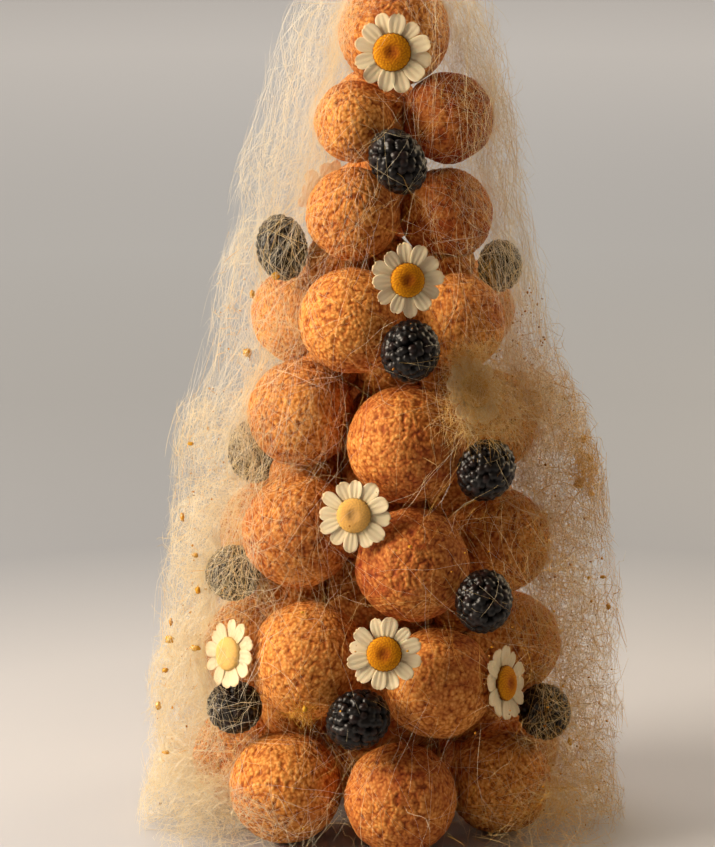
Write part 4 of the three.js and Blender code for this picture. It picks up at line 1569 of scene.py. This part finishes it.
@dataclass
class Studio:
    """A pale floor, soft lights and the camera."""

    elevation: float = 12.0  # of the camera, degrees
    distance: float = 1.5  # metres from the camera to the aim
    target_height: float = 0.16
    pixels_per_metre: float = 2600.0  # at the aim
    picture: tuple[int, int] = (715, 847)
    target_pixel: tuple[float, float] = (386.0, 411.0)  # where the target shows
    sensor: float = 36.0
    floor_radius: float = 14.0
    floor_sides: int = 96
    # painted light and shade: paler far off, where the lamps reach less, darker some way behind
    floor_tones: Stops = (  # from the tower to the back
        (0.0, "#B9B9BE"),
        (0.06, "#B5B6BC"),
        (0.14, "#979BA4"),
        (0.29, "#ABAFB6"),
        (0.5, "#CCD0D6"),
        (1.0, "#F2F3F6"),
    )
    floor_reach: Span = (0.1, 2.6)  # metres from the tower to the first and the last tone
    world: str = "#7C7266"
    world_strength: float = 0.8
    lamps: tuple[Lamp, ...] = (
        Lamp("window", -76, 25, 1.0, 0.55, 18.5, "#FFEFD8"),
        Lamp("back", 118, 24, 1.0, 0.7, 6.0, "#FFE6BE"),
        Lamp("far", 180, 35, 3.2, 2.0, 10.0, "#FFF8EC"),
        Lamp("sky", -150, 60, 0, 40, 1.0, "#FFF8F0"),
    )

    def build(self) -> None:
        """Makes the camera, the lights, the world and the floor."""
        self.camera()
        for lamp in self.lamps:
            self.light(lamp)
        world = bpy.data.worlds.new("studio")
        bpy.context.scene.world = world
        world.use_nodes = True
        background = world.node_tree.nodes["Background"]
        background.inputs["Color"].default_value = colour(self.world)
        background.inputs["Strength"].default_value = self.world_strength
        bpy.context.scene.view_settings.view_transform = "Standard"
        self.floor()

    def camera(self) -> None:
        """The camera, placed so that the target falls on its pixel."""
        tilt = math.radians(self.elevation)
        up = Vector((0, math.sin(tilt), math.cos(tilt)))
        right = (self.target_pixel[0] - self.picture[0] / 2) / self.pixels_per_metre
        above = (self.picture[1] / 2 - self.target_pixel[1]) / self.pixels_per_metre
        aim = Vector((0, 0, self.target_height)) - Vector((right, 0, 0)) - up * above
        back = Vector((0, -math.cos(tilt), math.sin(tilt)))
        data = bpy.data.cameras.new("camera")
        data.sensor_width = self.sensor
        data.lens = self.sensor * self.distance * self.pixels_per_metre / max(self.picture)
        data.clip_start, data.clip_end = 0.05, 50
        bpy.context.scene.camera = self.aimed("camera", data, aim, back, self.distance)

    def aimed(
        self, name: str, data: bpy.types.ID, aim: Vector, back: Vector, distance: float
    ) -> bpy.types.Object:
        """Puts a camera or a light some way back from its aim, looking at it.

        Args:
            name: the object's name.
            data: the camera or the light.
            aim: the place that it looks at.
            back: the direction from the aim to it.
            distance: metres between them.

        Returns:
            The object.
        """
        thing = bpy.data.objects.new(name, data)
        thing.location = aim + back * distance
        thing.rotation_mode = "QUATERNION"
        thing.rotation_quaternion = (-back).to_track_quat("-Z", "Y")
        bpy.context.scene.collection.objects.link(thing)
        return thing

    def light(self, lamp: Lamp) -> None:
        """One soft light."""
        a, e = math.radians(lamp.azimuth), math.radians(lamp.elevation)
        way = Vector((math.sin(a) * math.cos(e), -math.cos(a) * math.cos(e), math.sin(e)))
        data = bpy.data.lights.new(lamp.name, "AREA" if lamp.distance else "SUN")
        if lamp.distance:
            data.size = lamp.breadth
        else:
            data.angle = math.radians(lamp.breadth)
        data.energy, data.color = lamp.power, colour(lamp.tint)[:3]
        self.aimed(lamp.name, data, Vector((0, 0, self.target_height)), way, lamp.distance or 2)

    def floor(self) -> None:
        """A wide round floor, pale, a little darker some way behind the tower and paler far off:
        painted shade and painted light in its colour.
        """
        turn = np.arange(self.floor_sides) * 2 * math.pi / self.floor_sides
        corners = np.stack([np.cos(turn), np.sin(turn), turn * 0], -1) * self.floor_radius
        mesh = bpy.data.meshes.new("floor")
        mesh.from_pydata(corners.tolist(), [], [list(range(self.floor_sides))])
        material = bpy.data.materials.new("matt_white_board")
        material.use_nodes = True
        tree = material.node_tree
        shader = tree.nodes["Principled BSDF"]
        place = add_node(tree, "TexCoord").outputs["Object"]
        far = add_node(tree, "VectorMath", {"operation": "LENGTH"}, {0: place}).outputs["Value"]
        reach = dict(zip(("From Min", "From Max"), self.floor_reach))
        share = add_node(tree, "MapRange", reach, {"Value": far}).outputs[0]
        tone = add_node(tree, "ValToRGB", {"stops": self.floor_tones}, {"Fac": share}).outputs[0]
        tree.links.new(tone, shader.inputs["Base Color"])
        shader.inputs["Roughness"].default_value = 0.7
        mesh.materials.append(material)
        floor = bpy.data.objects.new("floor", mesh)
        bpy.context.scene.collection.objects.link(floor)


# ---- the tower ----------------------------------------------------------------------------


def main() -> None:
    """Builds the croquembouche, class by class, and logs the name of each piece."""
    logging.basicConfig(level=logging.INFO, format="%(name)s: %(message)s")
    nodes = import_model()["nodes"]
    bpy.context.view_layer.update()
    Studio().build()

    corners = {
        kind: {name: node_corners(node) for name, node in nodes.items() if name.startswith(kind)}
        for kind in ("puff", "bramble", "daisy", "spun_sugar")
    }
    puffs = all_puffs(corners["puff"])
    balls = [puff.ball for puff in puffs]
    crust = Craquelin()
    for puff in puffs:
        LOG.info("%s", puff.build(balls, crust).name)

    brambles = [
        Bramble(name, its_corners, seed, CLEARINGS.get(name, USUAL_CLEARING))
        for seed, (name, its_corners) in enumerate(sorted(corners["bramble"].items()), BRAMBLE_SEED)
    ]
    skin = BrambleSkin()
    for bramble in brambles:
        LOG.info("%s", bramble.build(skin).name)

    daisies = [
        Daisy(name, its_corners, seed, PALE_DISCS.get(name, 0.0))
        for seed, (name, its_corners) in enumerate(sorted(corners["daisy"].items()), DAISY_SEED)
    ]
    petal, disc = Petal(), DaisyDisc()
    for daisy in daisies:
        for piece in daisy.build(petal, disc):
            LOG.info("%s", piece.name)

    toppings = [ball for topping in (*brambles, *daisies) for ball in topping.balls()]
    around = Surroundings([*balls, *toppings], corners["spun_sugar"]["spun_sugar"])
    top = max(balls, key=lambda ball: ball.middle[2])
    open_spaces = [
        *((daisy.face(), OPEN_TO_FEW) for daisy in daisies if daisy.name not in VEILED_DAISIES),
        *((berry.face(), OPEN_TO_MANY) for berry in brambles if berry.name not in NETTED_BRAMBLES),
    ]
    sugar = SpunSugar(around, top, open_spaces)
    pulled = PulledSugar()
    for seed, bundle in enumerate(BUNDLES, SUGAR_SEED):
        LOG.info("%s", sugar.build(bundle, seed, pulled).name)
    for piece in CaramelBeads(around).build(CaramelDrop()):
        LOG.info("%s", piece.name)


if __name__ == "__main__":
    main()
